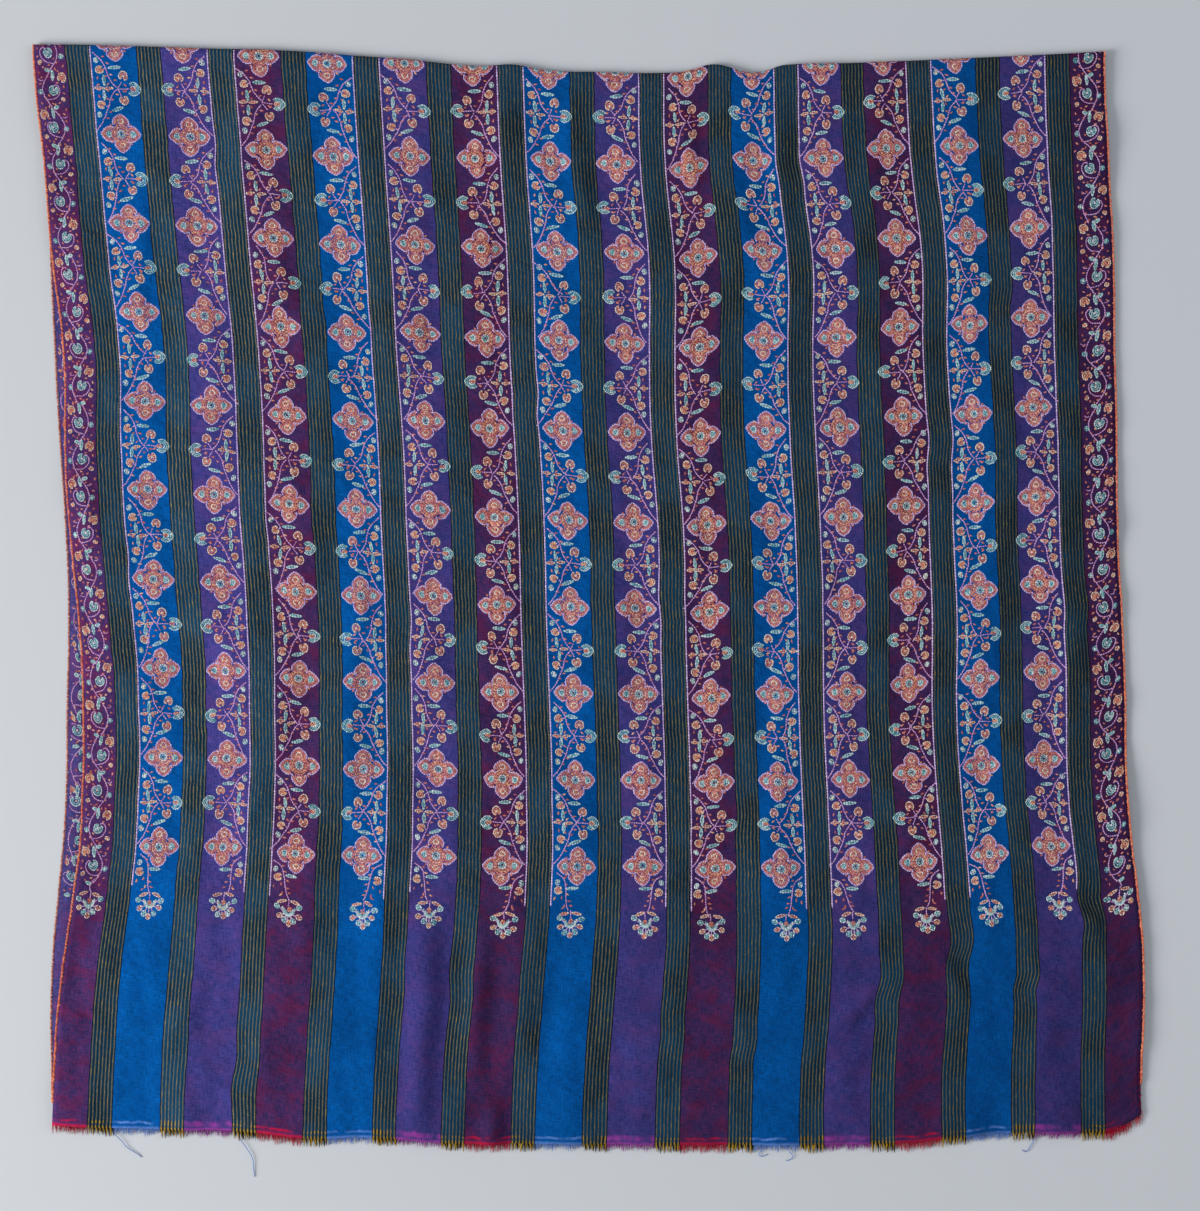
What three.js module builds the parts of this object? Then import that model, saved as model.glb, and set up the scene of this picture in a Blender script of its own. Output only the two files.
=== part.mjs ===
// A pashmina shawl of striped wool, folded in half across its length and laid flat.
// Millimetres, +Z up. X runs across the cloth, +Y from the fringed ends to the fold, and the
// origin is under the middle of the folded shawl. On the cloth itself, "across" is the distance
// from the left selvedge and "along" is the distance from the tips of the fringe.

import * as THREE from "three";

// Cut of the cloth
const CLOTH_WIDTH = 1000;
const LAYER_LENGTH = 1000;
const CLOTH_WALL = 1.2;
const UNDER_WALL = 1.5;
const GAP = 0.3;

// Edging stitched over each selvedge, which stops short of the raw ends
const EDGING_WIDTH = 1.6;
const EDGING_LIFT = 0.1;
const EDGING_START = { left: 27, right: 48, hidden: 30 };

// Fringe of warp ends on a narrow strip
const STRAND_COUNT = 100;
const STRAND_LENGTH = 5.5;
const STRAND_WALL = 0.9;
const STRAND_TIP_SHARE = 0.35;
const STRAND_DROOP = 0.3;
const STRIP_WIDTH = 1.5;
const UNDER_END_INSET = 4;

// Stripes: a border at each selvedge, and between them a dark band and a coloured stripe by turns
const BORDER_WIDTH = 32.5;
const BAND_WIDTH = 22.7;
const STRIPE_WIDTH = 42.4;
const bandStart = (number) => BORDER_WIDTH + (number - 1) * (BAND_WIDTH + STRIPE_WIDTH);

// Where the selvedges and the left sides of some dark bands lie, from the fold to the raw ends
const COURSE = [
  { y: 510, underLeft: -510, left: -510, band1: -481, band4: -283, band7: -85, band10: 108,
    band13: 290, band15: 418, right: 473, underRight: 473 },
  { y: 475, underLeft: -506, left: -508, band1: -478, band4: -281.5, band7: -83.5, band10: 108.5,
    band13: 291.5, band15: 418.5, right: 473, underRight: 471 },
  { y: 392, underLeft: -498, left: -499, band1: -470.5, band4: -275, band7: -80, band10: 110.5,
    band13: 296.5, band15: 422, right: 477, underRight: 473 },
  { y: 310, underLeft: -494.5, left: -492.5, band1: -463, band4: -268.5, band7: -74.5, band10: 119,
    band13: 306, band15: 426, right: 481.5, underRight: 477 },
  { y: 227, underLeft: -490.5, left: -482.5, band1: -453, band4: -262, band7: -72, band10: 119.5,
    band13: 306.5, band15: 427, right: 482.5, underRight: 478 },
  { y: 144.5, underLeft: -486, left: -480.5, band1: -452, band4: -257, band7: -67.5, band10: 121,
    band13: 311, band15: 430.5, right: 484.5, underRight: 480 },
  { y: 62, underLeft: -480.5, left: -476.5, band1: -447.5, band4: -253.5, band7: -63.5, band10: 127,
    band13: 312.5, band15: 431.5, right: 485, underRight: 480 },
  { y: -20.5, underLeft: -478, left: -468.5, band1: -440, band4: -248.5, band7: -61.5, band10: 129,
    band13: 315.5, band15: 436, right: 489.5, underRight: 484 },
  { y: -103, underLeft: -479.5, left: -464.5, band1: -434.5, band4: -247.5, band7: -58.5,
    band10: 131, band13: 315.5, band15: 438, right: 492.5, underRight: 486 },
  { y: -185.5, underLeft: -480.5, left: -465, band1: -435.5, band4: -247.5, band7: -56.5,
    band10: 133.5, band13: 320, band15: 440.5, right: 494, underRight: 487 },
  { y: -268, underLeft: -487, left: -472, band1: -442, band4: -251.5, band7: -57.5, band10: 135,
    band13: 326.5, band15: 449, right: 503, underRight: 492 },
  { y: -350.5, underLeft: -493.5, left: -484, band1: -452.5, band4: -255, band7: -63.5, band10: 134,
    band13: 328.5, band15: 452, right: 509, underRight: 497 },
  { y: -433, underLeft: -493.5, left: -490.5, band1: -458, band4: -260.5, band7: -69.5, band10: 128.5,
    band13: 323, band15: 451, right: 507, underRight: 499 },
  { y: -507, underLeft: -493.5, left: -494, band1: -461.5, band4: -263, band7: -72.5, band10: 126.5,
    band13: 323, band15: 451, right: 510, underRight: 500 },
];
const COURSE_LINES = [
  { across: 0, line: "left" },
  { across: bandStart(1), line: "band1" },
  { across: bandStart(4), line: "band4" },
  { across: bandStart(7), line: "band7" },
  { across: bandStart(10), line: "band10" },
  { across: bandStart(13), line: "band13" },
  { across: bandStart(15), line: "band15" },
  { across: CLOTH_WIDTH, line: "right" },
];

// Where the fold lies, and the tips of the fringe, from the left selvedge to the right
const FOLD_LINE = [
  { across: 0, y: 507.5 },
  { across: 57, y: 507 },
  { across: 163, y: 503.7 },
  { across: 231, y: 501.9 },
  { across: 295, y: 497.2 },
  { across: 346, y: 493.4 },
  { across: 408, y: 487.5 },
  { across: 436, y: 489.3 },
  { across: 464, y: 484.3 },
  { across: 510, y: 482.4 },
  { across: 579, y: 481.5 },
  { across: 603, y: 483.9 },
  { across: 626, y: 489.3 },
  { across: 656, y: 482.4 },
  { across: 678, y: 484 },
  { across: 692, y: 488.5 },
  { across: 760, y: 490.5 },
  { across: 903, y: 496.3 },
  { across: 1000, y: 501.1 },
];
const END_LINE = [
  { across: 0, y: -489 },
  { across: 55, y: -492.5 },
  { across: 174, y: -495.5 },
  { across: 229, y: -501.5 },
  { across: 293, y: -500.5 },
  { across: 366, y: -505.5 },
  { across: 440, y: -506.5 },
  { across: 765, y: -506.5 },
  { across: 825, y: -501 },
  { across: 889, y: -496.5 },
  { across: 958, y: -496 },
  { across: 978, y: -492 },
  { across: 1000, y: -479 },
];

// The upper layer's rise over the layer below it
const FOLD_HEIGHT = 6.4;
const FOLD_SOFTNESS = 45;
const JOIN_START = 800;
const REST_RISE = 0.3;
const WAVES = [
  { height: 0.9, across: 262, along: 910, phase: 0.4 },
  { height: 0.7, across: 141, along: 1450, phase: 2.1 },
  { height: 0.6, across: 520, along: 330, phase: 4.0 },
];

// Soft ridges, each from one point of the cloth to another. Width is from its crest to its foot.
const RIDGES = [
  { fromAcross: 346, fromAlong: -10, toAcross: 331, toAlong: 215, width: 26, height: 3.4 },
  { fromAcross: 372, fromAlong: 20, toAcross: 384, toAlong: 255, width: 22, height: 3.0 },
  { fromAcross: 424, fromAlong: 10, toAcross: 420, toAlong: 260, width: 24, height: 2.8 },
  { fromAcross: 312, fromAlong: -10, toAcross: 300, toAlong: 330, width: 20, height: 2.2 },
  { fromAcross: 712, fromAlong: 112, toAcross: 752, toAlong: 152, width: 16, height: 3.6 },
  { fromAcross: 806, fromAlong: 185, toAcross: 838, toAlong: 120, width: 17, height: 4.2 },
  { fromAcross: 938, fromAlong: 235, toAcross: 972, toAlong: 150, width: 18, height: 4.0 },
  { fromAcross: 486, fromAlong: 1010, toAcross: 498, toAlong: 815, width: 20, height: 3.6 },
  { fromAcross: 690, fromAlong: 1010, toAcross: 684, toAlong: 840, width: 22, height: 3.4 },
  { fromAcross: 236, fromAlong: 990, toAcross: 250, toAlong: 790, width: 28, height: 2.6 },
  { fromAcross: 640, fromAlong: 900, toAcross: 628, toAlong: 770, width: 24, height: 2.4 },
  { fromAcross: 952, fromAlong: 1010, toAcross: 958, toAlong: 780, width: 22, height: 3.2 },
  { fromAcross: 90, fromAlong: 70, toAcross: 126, toAlong: 150, width: 22, height: 2.8 },
  { fromAcross: 536, fromAlong: 50, toAcross: 600, toAlong: 88, width: 26, height: 2.4 },
  { fromAcross: 26, fromAlong: 330, toAcross: 18, toAlong: 640, width: 24, height: 2.6 },
  { fromAcross: 160, fromAlong: 420, toAcross: 186, toAlong: 690, width: 34, height: 1.8 },
  { fromAcross: 560, fromAlong: 380, toAcross: 548, toAlong: 660, width: 36, height: 1.6 },
  { fromAcross: 868, fromAlong: 400, toAcross: 884, toAlong: 640, width: 32, height: 1.8 },
];

// The right selvedge stands off the surface at the fringed end and at the fold
const LIFT_WIDTH = 70;
const RIGHT_LIFTS = [
  { along: 130, halfLength: 150, height: 6.5 },
  { along: 970, halfLength: 90, height: 3.0 },
];

// Steps of the meshes
const ACROSS_STEPS = 40;
const UPPER_STEPS = 36;
const UNDER_STEPS = 14;
const TURN_STEPS = 5;

// Middle of the pieces as laid out above, which comes over the origin
const MIDDLE = { x: -0.31, y: -0.26 };

const MATERIALS = {
  cloth: new THREE.MeshStandardMaterial({ color: 0x3f3f78, roughness: 0.85, metalness: 0 }),
  reverse: new THREE.MeshStandardMaterial({ color: 0x3a2f5c, roughness: 0.88, metalness: 0 }),
  edging: new THREE.MeshStandardMaterial({ color: 0xe0704e, roughness: 0.7, metalness: 0 }),
  fringe: new THREE.MeshStandardMaterial({ color: 0x7a4a7c, roughness: 0.9, metalness: 0 }),
};

const { lerp, clamp, smoothstep } = THREE.MathUtils;

// A smooth value between the rows of a table, which lie in order along one of its columns
function between(rows, key, at, column) {
  const rising = rows[rows.length - 1][key] > rows[0][key] ? 1 : -1;
  let i = 0;
  while (i < rows.length - 2 && rising * (at - rows[i + 1][key]) > 0) i += 1;
  const slope = (k) => {
    const before = rows[Math.max(k - 1, 0)];
    const after = rows[Math.min(k + 1, rows.length - 1)];
    return (after[column] - before[column]) / (after[key] - before[key]);
  };
  const span = rows[i + 1][key] - rows[i][key];
  const t = clamp((at - rows[i][key]) / span, 0, 1);
  const fromStart = rows[i][column] + slope(i) * span * t;
  const fromEnd = rows[i + 1][column] - slope(i + 1) * span * (1 - t);
  return lerp(fromStart, fromEnd, t * t * (3 - 2 * t));
}

// Plan of the upper layer
function upperY(across, along) {
  const end = between(END_LINE, "across", across, "y");
  const fold = between(FOLD_LINE, "across", across, "y") - FOLD_HEIGHT / 2;
  return lerp(end, fold, along / LAYER_LENGTH);
}

function upperX(across, y) {
  const lines = COURSE_LINES.map(({ across: place, line }) => ({
    place,
    x: between(COURSE, "y", y, line),
  }));
  return between(lines, "place", across, "x");
}

// One soft ridge, highest in its middle, with round ends
function ridgeRise(ridge, across, along) {
  const runAcross = ridge.toAcross - ridge.fromAcross;
  const runAlong = ridge.toAlong - ridge.fromAlong;
  const length = Math.hypot(runAcross, runAlong);
  const offAcross = across - ridge.fromAcross;
  const offAlong = along - ridge.fromAlong;
  const share = (offAcross * runAcross + offAlong * runAlong) / length ** 2;
  const aside = (offAcross * runAlong - offAlong * runAcross) / length;
  if (share <= 0 || share >= 1 || Math.abs(aside) >= ridge.width) return 0;
  const profile = (1 + Math.cos((Math.PI * aside) / ridge.width)) / 2;
  return ridge.height * profile * Math.sin(Math.PI * share);
}

function rise(across, along) {
  let height = REST_RISE;
  for (const wave of WAVES) {
    const turn = 2 * Math.PI * (across / wave.across + along / wave.along) + wave.phase;
    height += (wave.height * (1 + Math.sin(turn))) / 2;
  }
  for (const ridge of RIDGES) height += ridgeRise(ridge, across, along);
  const nearRight = smoothstep(across, CLOTH_WIDTH - LIFT_WIDTH, CLOTH_WIDTH);
  for (const lift of RIGHT_LIFTS) {
    const off = clamp((along - lift.along) / lift.halfLength, -1, 1);
    height += (lift.height * nearRight ** 2 * (1 + Math.cos(Math.PI * off))) / 2;
  }
  const atFold = FOLD_HEIGHT - UNDER_WALL - GAP - CLOTH_WALL;
  return lerp(height, atFold, smoothstep(along, LAYER_LENGTH - FOLD_SOFTNESS, LAYER_LENGTH));
}

// A point of the upper layer's wall, on its under face (0) or its outer face (1)
function upperPoint(across, along, face) {
  const y = upperY(across, along);
  const z = UNDER_WALL + GAP + rise(across, along) + face * CLOTH_WALL;
  return new THREE.Vector3(upperX(across, y), y, z);
}

// A point of the under layer, which lies flat. Past its whole length it turns up round the fold.
function underPoint(across, along, face) {
  const end = between(END_LINE, "across", across, "y") + UNDER_END_INSET;
  const radius = FOLD_HEIGHT / 2;
  const turnY = between(FOLD_LINE, "across", across, "y") - radius;
  const flat = Math.min(along / LAYER_LENGTH, 1);
  const turn = Math.max(along / LAYER_LENGTH - 1, 0) * Math.PI;
  const y = lerp(end, turnY, flat);
  const left = between(COURSE, "y", y, "underLeft");
  const right = between(COURSE, "y", y, "underRight");
  const hidden = lerp(left, right, across / CLOTH_WIDTH);
  const x = lerp(hidden, upperX(across, y), smoothstep(along, JOIN_START, LAYER_LENGTH));
  const reach = radius - face * UNDER_WALL;
  return new THREE.Vector3(x, y + reach * Math.sin(turn), radius - reach * Math.cos(turn));
}

// A wall between two faces that share one flat layout. Each edge that only one cell uses gets a
// side, so the wall is closed. Cells run anticlockwise in the layout.
function wallGeometry(layout, cells, place) {
  const corners = layout.length;
  const positions = [];
  for (const face of [0, 1]) {
    for (const { across, along } of layout) positions.push(...place(across, along, face).toArray());
  }
  const index = [];
  const edges = new Map();
  for (const [a, b, c, d] of cells) {
    index.push(a + corners, b + corners, c + corners, a + corners, c + corners, d + corners);
    index.push(a, c, b, a, d, c);
    for (const [from, to] of [[a, b], [b, c], [c, d], [d, a]]) {
      if (!edges.delete(`${to} ${from}`)) edges.set(`${from} ${to}`, [from, to]);
    }
  }
  for (const [from, to] of edges.values()) {
    index.push(from, to, to + corners, from, to + corners, from + corners);
  }
  const geometry = new THREE.BufferGeometry();
  geometry.setAttribute("position", new THREE.Float32BufferAttribute(positions, 3));
  geometry.setIndex(index);
  geometry.computeVertexNormals();
  return geometry;
}

// The layout and cells of a rectangle of cloth
function sheetLayout(acrossStops, alongStops) {
  const layout = [];
  for (const along of alongStops) {
    for (const across of acrossStops) layout.push({ across, along });
  }
  const cells = [];
  const row = acrossStops.length;
  for (let j = 0; j < alongStops.length - 1; j += 1) {
    for (let i = 0; i < row - 1; i += 1) {
      const a = j * row + i;
      cells.push([a, a + 1, a + 1 + row, a + row]);
    }
  }
  return { layout, cells };
}

// A strip with strands that taper outwards from it, their roots side by side
function fringeLayout(from, to, root) {
  const layout = [];
  const cells = [];
  const pitch = (to - from) / STRAND_COUNT;
  for (let k = 0; k <= STRAND_COUNT; k += 1) {
    const across = from + k * pitch;
    layout.push({ across, along: root }, { across, along: root + STRIP_WIDTH });
  }
  for (let k = 0; k < STRAND_COUNT; k += 1) {
    const middle = from + (k + 0.5 + 0.22 * Math.sin(7.3 * k)) * pitch;
    const length = STRAND_LENGTH * (0.84 + 0.16 * Math.sin(4.1 * k + 1));
    const half = (pitch * STRAND_TIP_SHARE) / 2;
    const rootLeft = 2 * k;
    const rootRight = 2 * k + 2;
    const tip = layout.length;
    layout.push({ across: middle - half, along: root - length });
    layout.push({ across: middle + half, along: root - length });
    cells.push([rootLeft, rootRight, rootRight + 1, rootLeft + 1]);
    cells.push([tip, tip + 1, rootRight, rootLeft]);
  }
  return { layout, cells };
}

function stops(from, to, steps) {
  return Array.from({ length: steps + 1 }, (_, i) => lerp(from, to, i / steps));
}

function addPiece(parent, name, { layout, cells }, place, material) {
  const mesh = new THREE.Mesh(wallGeometry(layout, cells, place), material);
  mesh.name = name;
  parent.add(mesh);
}

const shawl = new THREE.Group();
shawl.position.set(-MIDDLE.x, -MIDDLE.y, 0);
const clothLeft = EDGING_WIDTH + GAP;
const clothRight = CLOTH_WIDTH - EDGING_WIDTH - GAP;
const stripStart = STRAND_LENGTH;
const clothStart = stripStart + STRIP_WIDTH + GAP;
const upperTop = LAYER_LENGTH - GAP;
const turnTop = 2 * LAYER_LENGTH;

const acrossStops = stops(clothLeft, clothRight, ACROSS_STEPS);

// Upper layer, from its fringe to the fold
const upperStops = stops(clothStart, upperTop, UPPER_STEPS);
addPiece(
  shawl,
  "upper_layer",
  sheetLayout(acrossStops, upperStops),
  upperPoint,
  MATERIALS.cloth,
);

// Under layer, flat on the surface, with the half round of the fold
const underStops = [
  ...stops(clothStart, LAYER_LENGTH, UNDER_STEPS),
  ...stops(LAYER_LENGTH, turnTop, TURN_STEPS).slice(1),
];
addPiece(
  shawl,
  "under_layer",
  sheetLayout(acrossStops, underStops),
  underPoint,
  MATERIALS.reverse,
);

// Edging on the four selvedges. The under layer's goes round the fold with it.
const underEdgingPoint = (across, along, face) => {
  const point = underPoint(across, along, face);
  point.z = Math.max(point.z, EDGING_LIFT);
  return point;
};
const from = (start, alongStops) => [start, ...alongStops.filter((along) => along > start)];
for (const side of ["left", "right"]) {
  const outer = side === "left" ? 0 : CLOTH_WIDTH - EDGING_WIDTH;
  const edges = [outer, outer + EDGING_WIDTH];
  addPiece(
    shawl,
    `upper_edging_${side}`,
    sheetLayout(edges, from(EDGING_START[side], upperStops)),
    upperPoint,
    MATERIALS.edging,
  );
  addPiece(
    shawl,
    `under_edging_${side}`,
    sheetLayout(edges, from(EDGING_START.hidden, underStops)),
    underEdgingPoint,
    MATERIALS.edging,
  );
}

// Fringes. The strands of the upper one lie over the lower one and droop a little past it.
const strandPoint = (base, droop) => (across, along, face) => {
  const atRoot = base(across, Math.max(along, stripStart), 0);
  const placed = base(across, along, 0);
  const past = clamp((stripStart - along) / STRAND_LENGTH, 0, 1);
  placed.z = atRoot.z - droop * past + STRAND_WALL * face;
  return placed;
};
const underStrandPoint = (across, along, face) => {
  const point = strandPoint(underPoint, 0)(across, along, face);
  point.z += EDGING_LIFT;
  return point;
};
addPiece(
  shawl,
  "upper_fringe",
  fringeLayout(clothLeft, clothRight, stripStart),
  strandPoint(upperPoint, STRAND_DROOP),
  MATERIALS.fringe,
);
addPiece(
  shawl,
  "under_fringe",
  fringeLayout(clothLeft, clothRight, stripStart),
  underStrandPoint,
  MATERIALS.fringe,
);

export default shawl;
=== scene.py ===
# A striped pashmina shawl with stitched flowers, folded in half across its length and laid flat.
# Sizes are millimetres on the cloth: "across" from the left selvedge, "along" from the tips of the
# fringe. Meshes are made in metres, in the part's frame, with +Y towards the fold.
import math

import bpy
import mathutils
import numpy as np
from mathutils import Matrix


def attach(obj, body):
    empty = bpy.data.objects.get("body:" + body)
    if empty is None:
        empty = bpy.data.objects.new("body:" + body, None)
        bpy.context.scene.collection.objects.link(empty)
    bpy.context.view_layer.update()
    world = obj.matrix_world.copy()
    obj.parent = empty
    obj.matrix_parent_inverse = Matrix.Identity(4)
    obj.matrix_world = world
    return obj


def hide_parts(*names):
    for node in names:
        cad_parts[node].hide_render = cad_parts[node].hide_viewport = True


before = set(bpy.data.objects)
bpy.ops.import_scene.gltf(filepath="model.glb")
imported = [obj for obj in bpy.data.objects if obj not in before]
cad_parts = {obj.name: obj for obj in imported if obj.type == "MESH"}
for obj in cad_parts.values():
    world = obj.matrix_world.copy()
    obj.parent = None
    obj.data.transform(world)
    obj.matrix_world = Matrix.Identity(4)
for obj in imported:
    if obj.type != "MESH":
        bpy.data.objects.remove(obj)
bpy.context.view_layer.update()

MM = 0.001

# Cut of the cloth, as in the solids
CLOTH_WIDTH = 1000.0
LAYER_LENGTH = 1000.0
UPPER_REST = 1.8
CLOTH_WALL = 1.2
FOLD_HEIGHT = 6.4
FOLD_RADIUS = FOLD_HEIGHT / 2
FOLD_SOFTNESS = 45.0
JOIN_START = 800.0
UNDER_END_INSET = 4.0
RAW_END = 6.0

# What shows of the wall's thickness
SHOWN_WALL = 0.6
UNDER_LIFT = 0.35

# Stripes
BORDER_WIDTH = 32.5
BAND_WIDTH = 22.7
STRIPE_WIDTH = 42.4
REPEAT = BAND_WIDTH + STRIPE_WIDTH
STRIPES = 14
LAST_BAND_WIDTH = 15.0

# A pixel of the photograph on the cloth, and the pixel row where the tables' y is 0
PIXEL = 0.917
ZERO_ROW = 597.6

# Rows of stitched flowers: the photograph's pixel rows, read off it, of the first, fifth and ninth
# medallion of each stripe, and where across the stripe they were read
ROWS = 10
ROW_PITCH = 81.5
LAST_PITCH = 85.5
READ_ACROSS = 21
FLOWER_ROWS = [
    (846.3, 489.7, 134.2), (846.8, 495.3, 137.3), (852.8, 503.5, 150.0), (855.3, 509.3, 156.7),
    (854.8, 509.4, 157.0), (865.4, 517.0, 158.5), (865.4, 519.5, 161.0), (865.4, 521.6, 163.0),
    (868.0, 524.6, 168.7), (866.7, 519.5, 161.0), (866.7, 516.5, 159.2), (860.3, 505.5, 148.3),
    (853.9, 503.7, 146.2), (846.3, 495.8, 138.6),
]
LINE_DROP = 39.4
BOUQUET_DROP = 54.0
REVERSE_SHOWN = 24.0

# The tables below give x and y from a point near the folded shawl's middle, which itself lies here
MIDDLE = (-0.31, -0.26)

# Where the selvedges and the left sides of some dark bands lie, from the raw ends to the fold
COURSE_COLUMNS = "y under_left left band1 band4 band7 band10 band13 band15 right under_right".split()
COURSE = np.array([
    (-507, -493.5, -494, -461.5, -263, -72.5, 126.5, 323, 451, 510, 500),
    (-433, -493.5, -490.5, -458, -260.5, -69.5, 128.5, 323, 451, 507, 499),
    (-350.5, -493.5, -484, -452.5, -255, -63.5, 134, 328.5, 452, 509, 497),
    (-268, -487, -472, -442, -251.5, -57.5, 135, 326.5, 449, 503, 492),
    (-185.5, -480.5, -465, -435.5, -247.5, -56.5, 133.5, 320, 440.5, 494, 487),
    (-103, -479.5, -464.5, -434.5, -247.5, -58.5, 131, 315.5, 438, 492.5, 486),
    (-20.5, -478, -468.5, -440, -248.5, -61.5, 129, 315.5, 436, 489.5, 484),
    (62, -480.5, -476.5, -447.5, -253.5, -63.5, 127, 312.5, 431.5, 485, 480),
    (144.5, -486, -480.5, -452, -257, -67.5, 121, 311, 430.5, 484.5, 480),
    (227, -490.5, -482.5, -453, -262, -72, 119.5, 306.5, 427, 482.5, 478),
    (310, -494.5, -492.5, -463, -268.5, -74.5, 119, 306, 426, 481.5, 477),
    (392, -498, -499, -470.5, -275, -80, 110.5, 296.5, 422, 477, 473),
    (475, -506, -508, -478, -281.5, -83.5, 108.5, 291.5, 418.5, 473, 471),
    (510, -510, -510, -481, -283, -85, 108, 290, 418, 473, 473),
])


def band_start(number):
    return BORDER_WIDTH + (number - 1) * REPEAT


COURSE_LINES = [
    (0.0, "left"), (band_start(1), "band1"), (band_start(4), "band4"), (band_start(7), "band7"),
    (band_start(10), "band10"), (band_start(13), "band13"), (band_start(15), "band15"),
    (CLOTH_WIDTH, "right"),
]

# Rows of (across, y): where the fold lies, and the tips of the fringe
FOLD_LINE = np.array([
    (0, 507.5), (57, 507), (163, 503.7), (231, 501.9), (295, 497.2), (346, 493.4), (408, 487.5),
    (436, 489.3), (464, 484.3), (510, 482.4), (579, 481.5), (603, 483.9), (626, 489.3), (656, 482.4),
    (678, 484), (692, 488.5), (760, 490.5), (903, 496.3), (1000, 501.1),
])
END_LINE = np.array([
    (0, -489), (55, -492.5), (174, -495.5), (229, -501.5), (293, -500.5), (366, -505.5),
    (440, -506.5), (765, -506.5), (825, -501), (889, -496.5), (958, -496), (978, -492),
    (1000, -479),
])

# The upper layer's rise: waves of (height, across, along, phase)
REST_RISE = 0.3
WAVES = [(0.9, 262, 910, 0.4), (0.7, 141, 1450, 2.1), (0.6, 520, 330, 4.0)]

# Soft ridges of (from across, from along, to across, to along, width, height)
RIDGES = [
    (335, -25, 333, 238, 21, 9.6), (386, 40, 385, 232, 17, 5.6), (404, -34, 408, 52, 15, 6.2),
    (424, 52, 427, 236, 21, 3.2), (292, -10, 290, 300, 20, 2.2), (468, 20, 474, 190, 20, 2.0),
    (712, 112, 752, 152, 14, 3.6), (806, 185, 838, 120, 15, 4.2), (938, 235, 972, 150, 15, 4.2),
    (882, 178, 922, 128, 15, 3.4), (486, 1010, 498, 815, 17, 3.8), (690, 1010, 684, 840, 19, 3.4),
    (236, 990, 250, 790, 24, 2.8), (640, 900, 628, 770, 20, 2.6), (952, 1010, 958, 780, 18, 3.4),
    (430, 1010, 424, 880, 15, 2.8), (592, 1010, 604, 870, 16, 3.0), (755, 1000, 748, 905, 15, 2.4),
    (92, 66, 128, 150, 18, 3.2), (498, 66, 572, 74, 13, 4.2), (566, 46, 640, 40, 12, 4.0),
    (548, 96, 606, 116, 14, 2.4), (612, 78, 668, 60, 15, 2.6), (700, 60, 742, 88, 15, 2.2),
    (26, 330, 18, 640, 22, 2.4), (160, 420, 186, 690, 30, 2.4), (250, 320, 262, 520, 20, 2.4),
    (560, 380, 548, 660, 30, 2.2), (655, 300, 668, 470, 18, 2.6), (868, 400, 884, 640, 28, 2.4),
    (405, 470, 418, 700, 22, 2.4), (770, 520, 762, 760, 24, 2.4), (940, 330, 960, 560, 20, 2.6),
    (60, 700, 96, 860, 20, 2.6), (300, 830, 318, 660, 18, 2.6), (470, 590, 520, 640, 16, 2.0),
    (700, 820, 742, 770, 16, 2.2), (830, 870, 872, 820, 16, 2.4), (140, 250, 176, 330, 18, 2.4),
]

# Places where the stripes step aside over a crease: (across, along, reach, run, step)
KINKS = [
    (757, 150, 26, 13, 2.2), (824, 176, 26, 15, 3.0), (892, 146, 24, 9, 1.8), (952, 212, 22, 12, -2.4),
    (640, 92, 40, 12, 1.1), (560, 118, 30, 12, -0.7), (160, 60, 30, 16, 1.4), (350, 150, 40, 18, -1.3),
    (150, 905, 28, 12, 1.2), (268, 760, 26, 14, -1.3), (455, 690, 26, 12, 1.2), (540, 505, 30, 14, -1.1),
    (820, 640, 30, 14, 1.3), (700, 905, 26, 12, -1.2), (905, 780, 28, 13, 1.3), (330, 470, 30, 15, 1.1),
    (210, 560, 28, 13, -1.2), (610, 300, 30, 14, 1.2), (960, 480, 24, 13, 1.2), (70, 520, 22, 14, 1.1),
]

# Beside the right selvedge the folds nearly die out, but for lifts of (along, half length, height)
LIFT_WIDTH = 70.0
LIFT_FLATTENING = 0.8
RIGHT_LIFTS = [(130, 150, 1.2), (970, 90, 0.6)]

# Small uneven waves: their lengths, their height as a share of the length, and what raises the
# cloth so that few of them reach the least rise
CRUMPLE_WAVES = np.geomspace(16, 110, 30)
CRUMPLE_SHARE = 0.0056
CRUMPLE_RAISE = 0.8
LEAST_RISE = 0.15

# The upper layer's rise nears this and never reaches it
RISE_LIMIT = 14.0


# Shape of the cloth

def smoothstep(low, high, value):
    t = np.clip((value - low) / (high - low), 0, 1)
    return t * t * (3 - 2 * t)


def between(keys, values, at):
    """Smooth values between those of a table. Each column of values may have its own place."""
    keys = np.asarray(keys, float)
    values = np.asarray(values, float)
    at = np.asarray(at, float)
    last = len(keys) - 1
    low = np.maximum(np.arange(last + 1) - 1, 0)
    high = np.minimum(np.arange(last + 1) + 1, last)
    spans = (keys[high] - keys[low]).reshape(-1, *[1] * (values.ndim - 1))
    slopes = (values[high] - values[low]) / spans
    i = np.clip(np.searchsorted(keys, at) - 1, 0, last - 1)
    span = keys[i + 1] - keys[i]
    t = np.clip((at - keys[i]) / span, 0, 1)

    def pick(table, rows):
        return table[rows] if table.ndim == 1 else np.take_along_axis(table, rows[None], 0)[0]

    from_start = pick(values, i) + pick(slopes, i) * span * t
    from_end = pick(values, i + 1) - pick(slopes, i + 1) * span * (1 - t)
    return from_start + (from_end - from_start) * t * t * (3 - 2 * t)


def course(line, y):
    return between(COURSE[:, 0], COURSE[:, COURSE_COLUMNS.index(line)], y)


def upper_x(across, y):
    lines = np.array([course(line, y) for _, line in COURSE_LINES])
    return between([place for place, _ in COURSE_LINES], lines, across)


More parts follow.
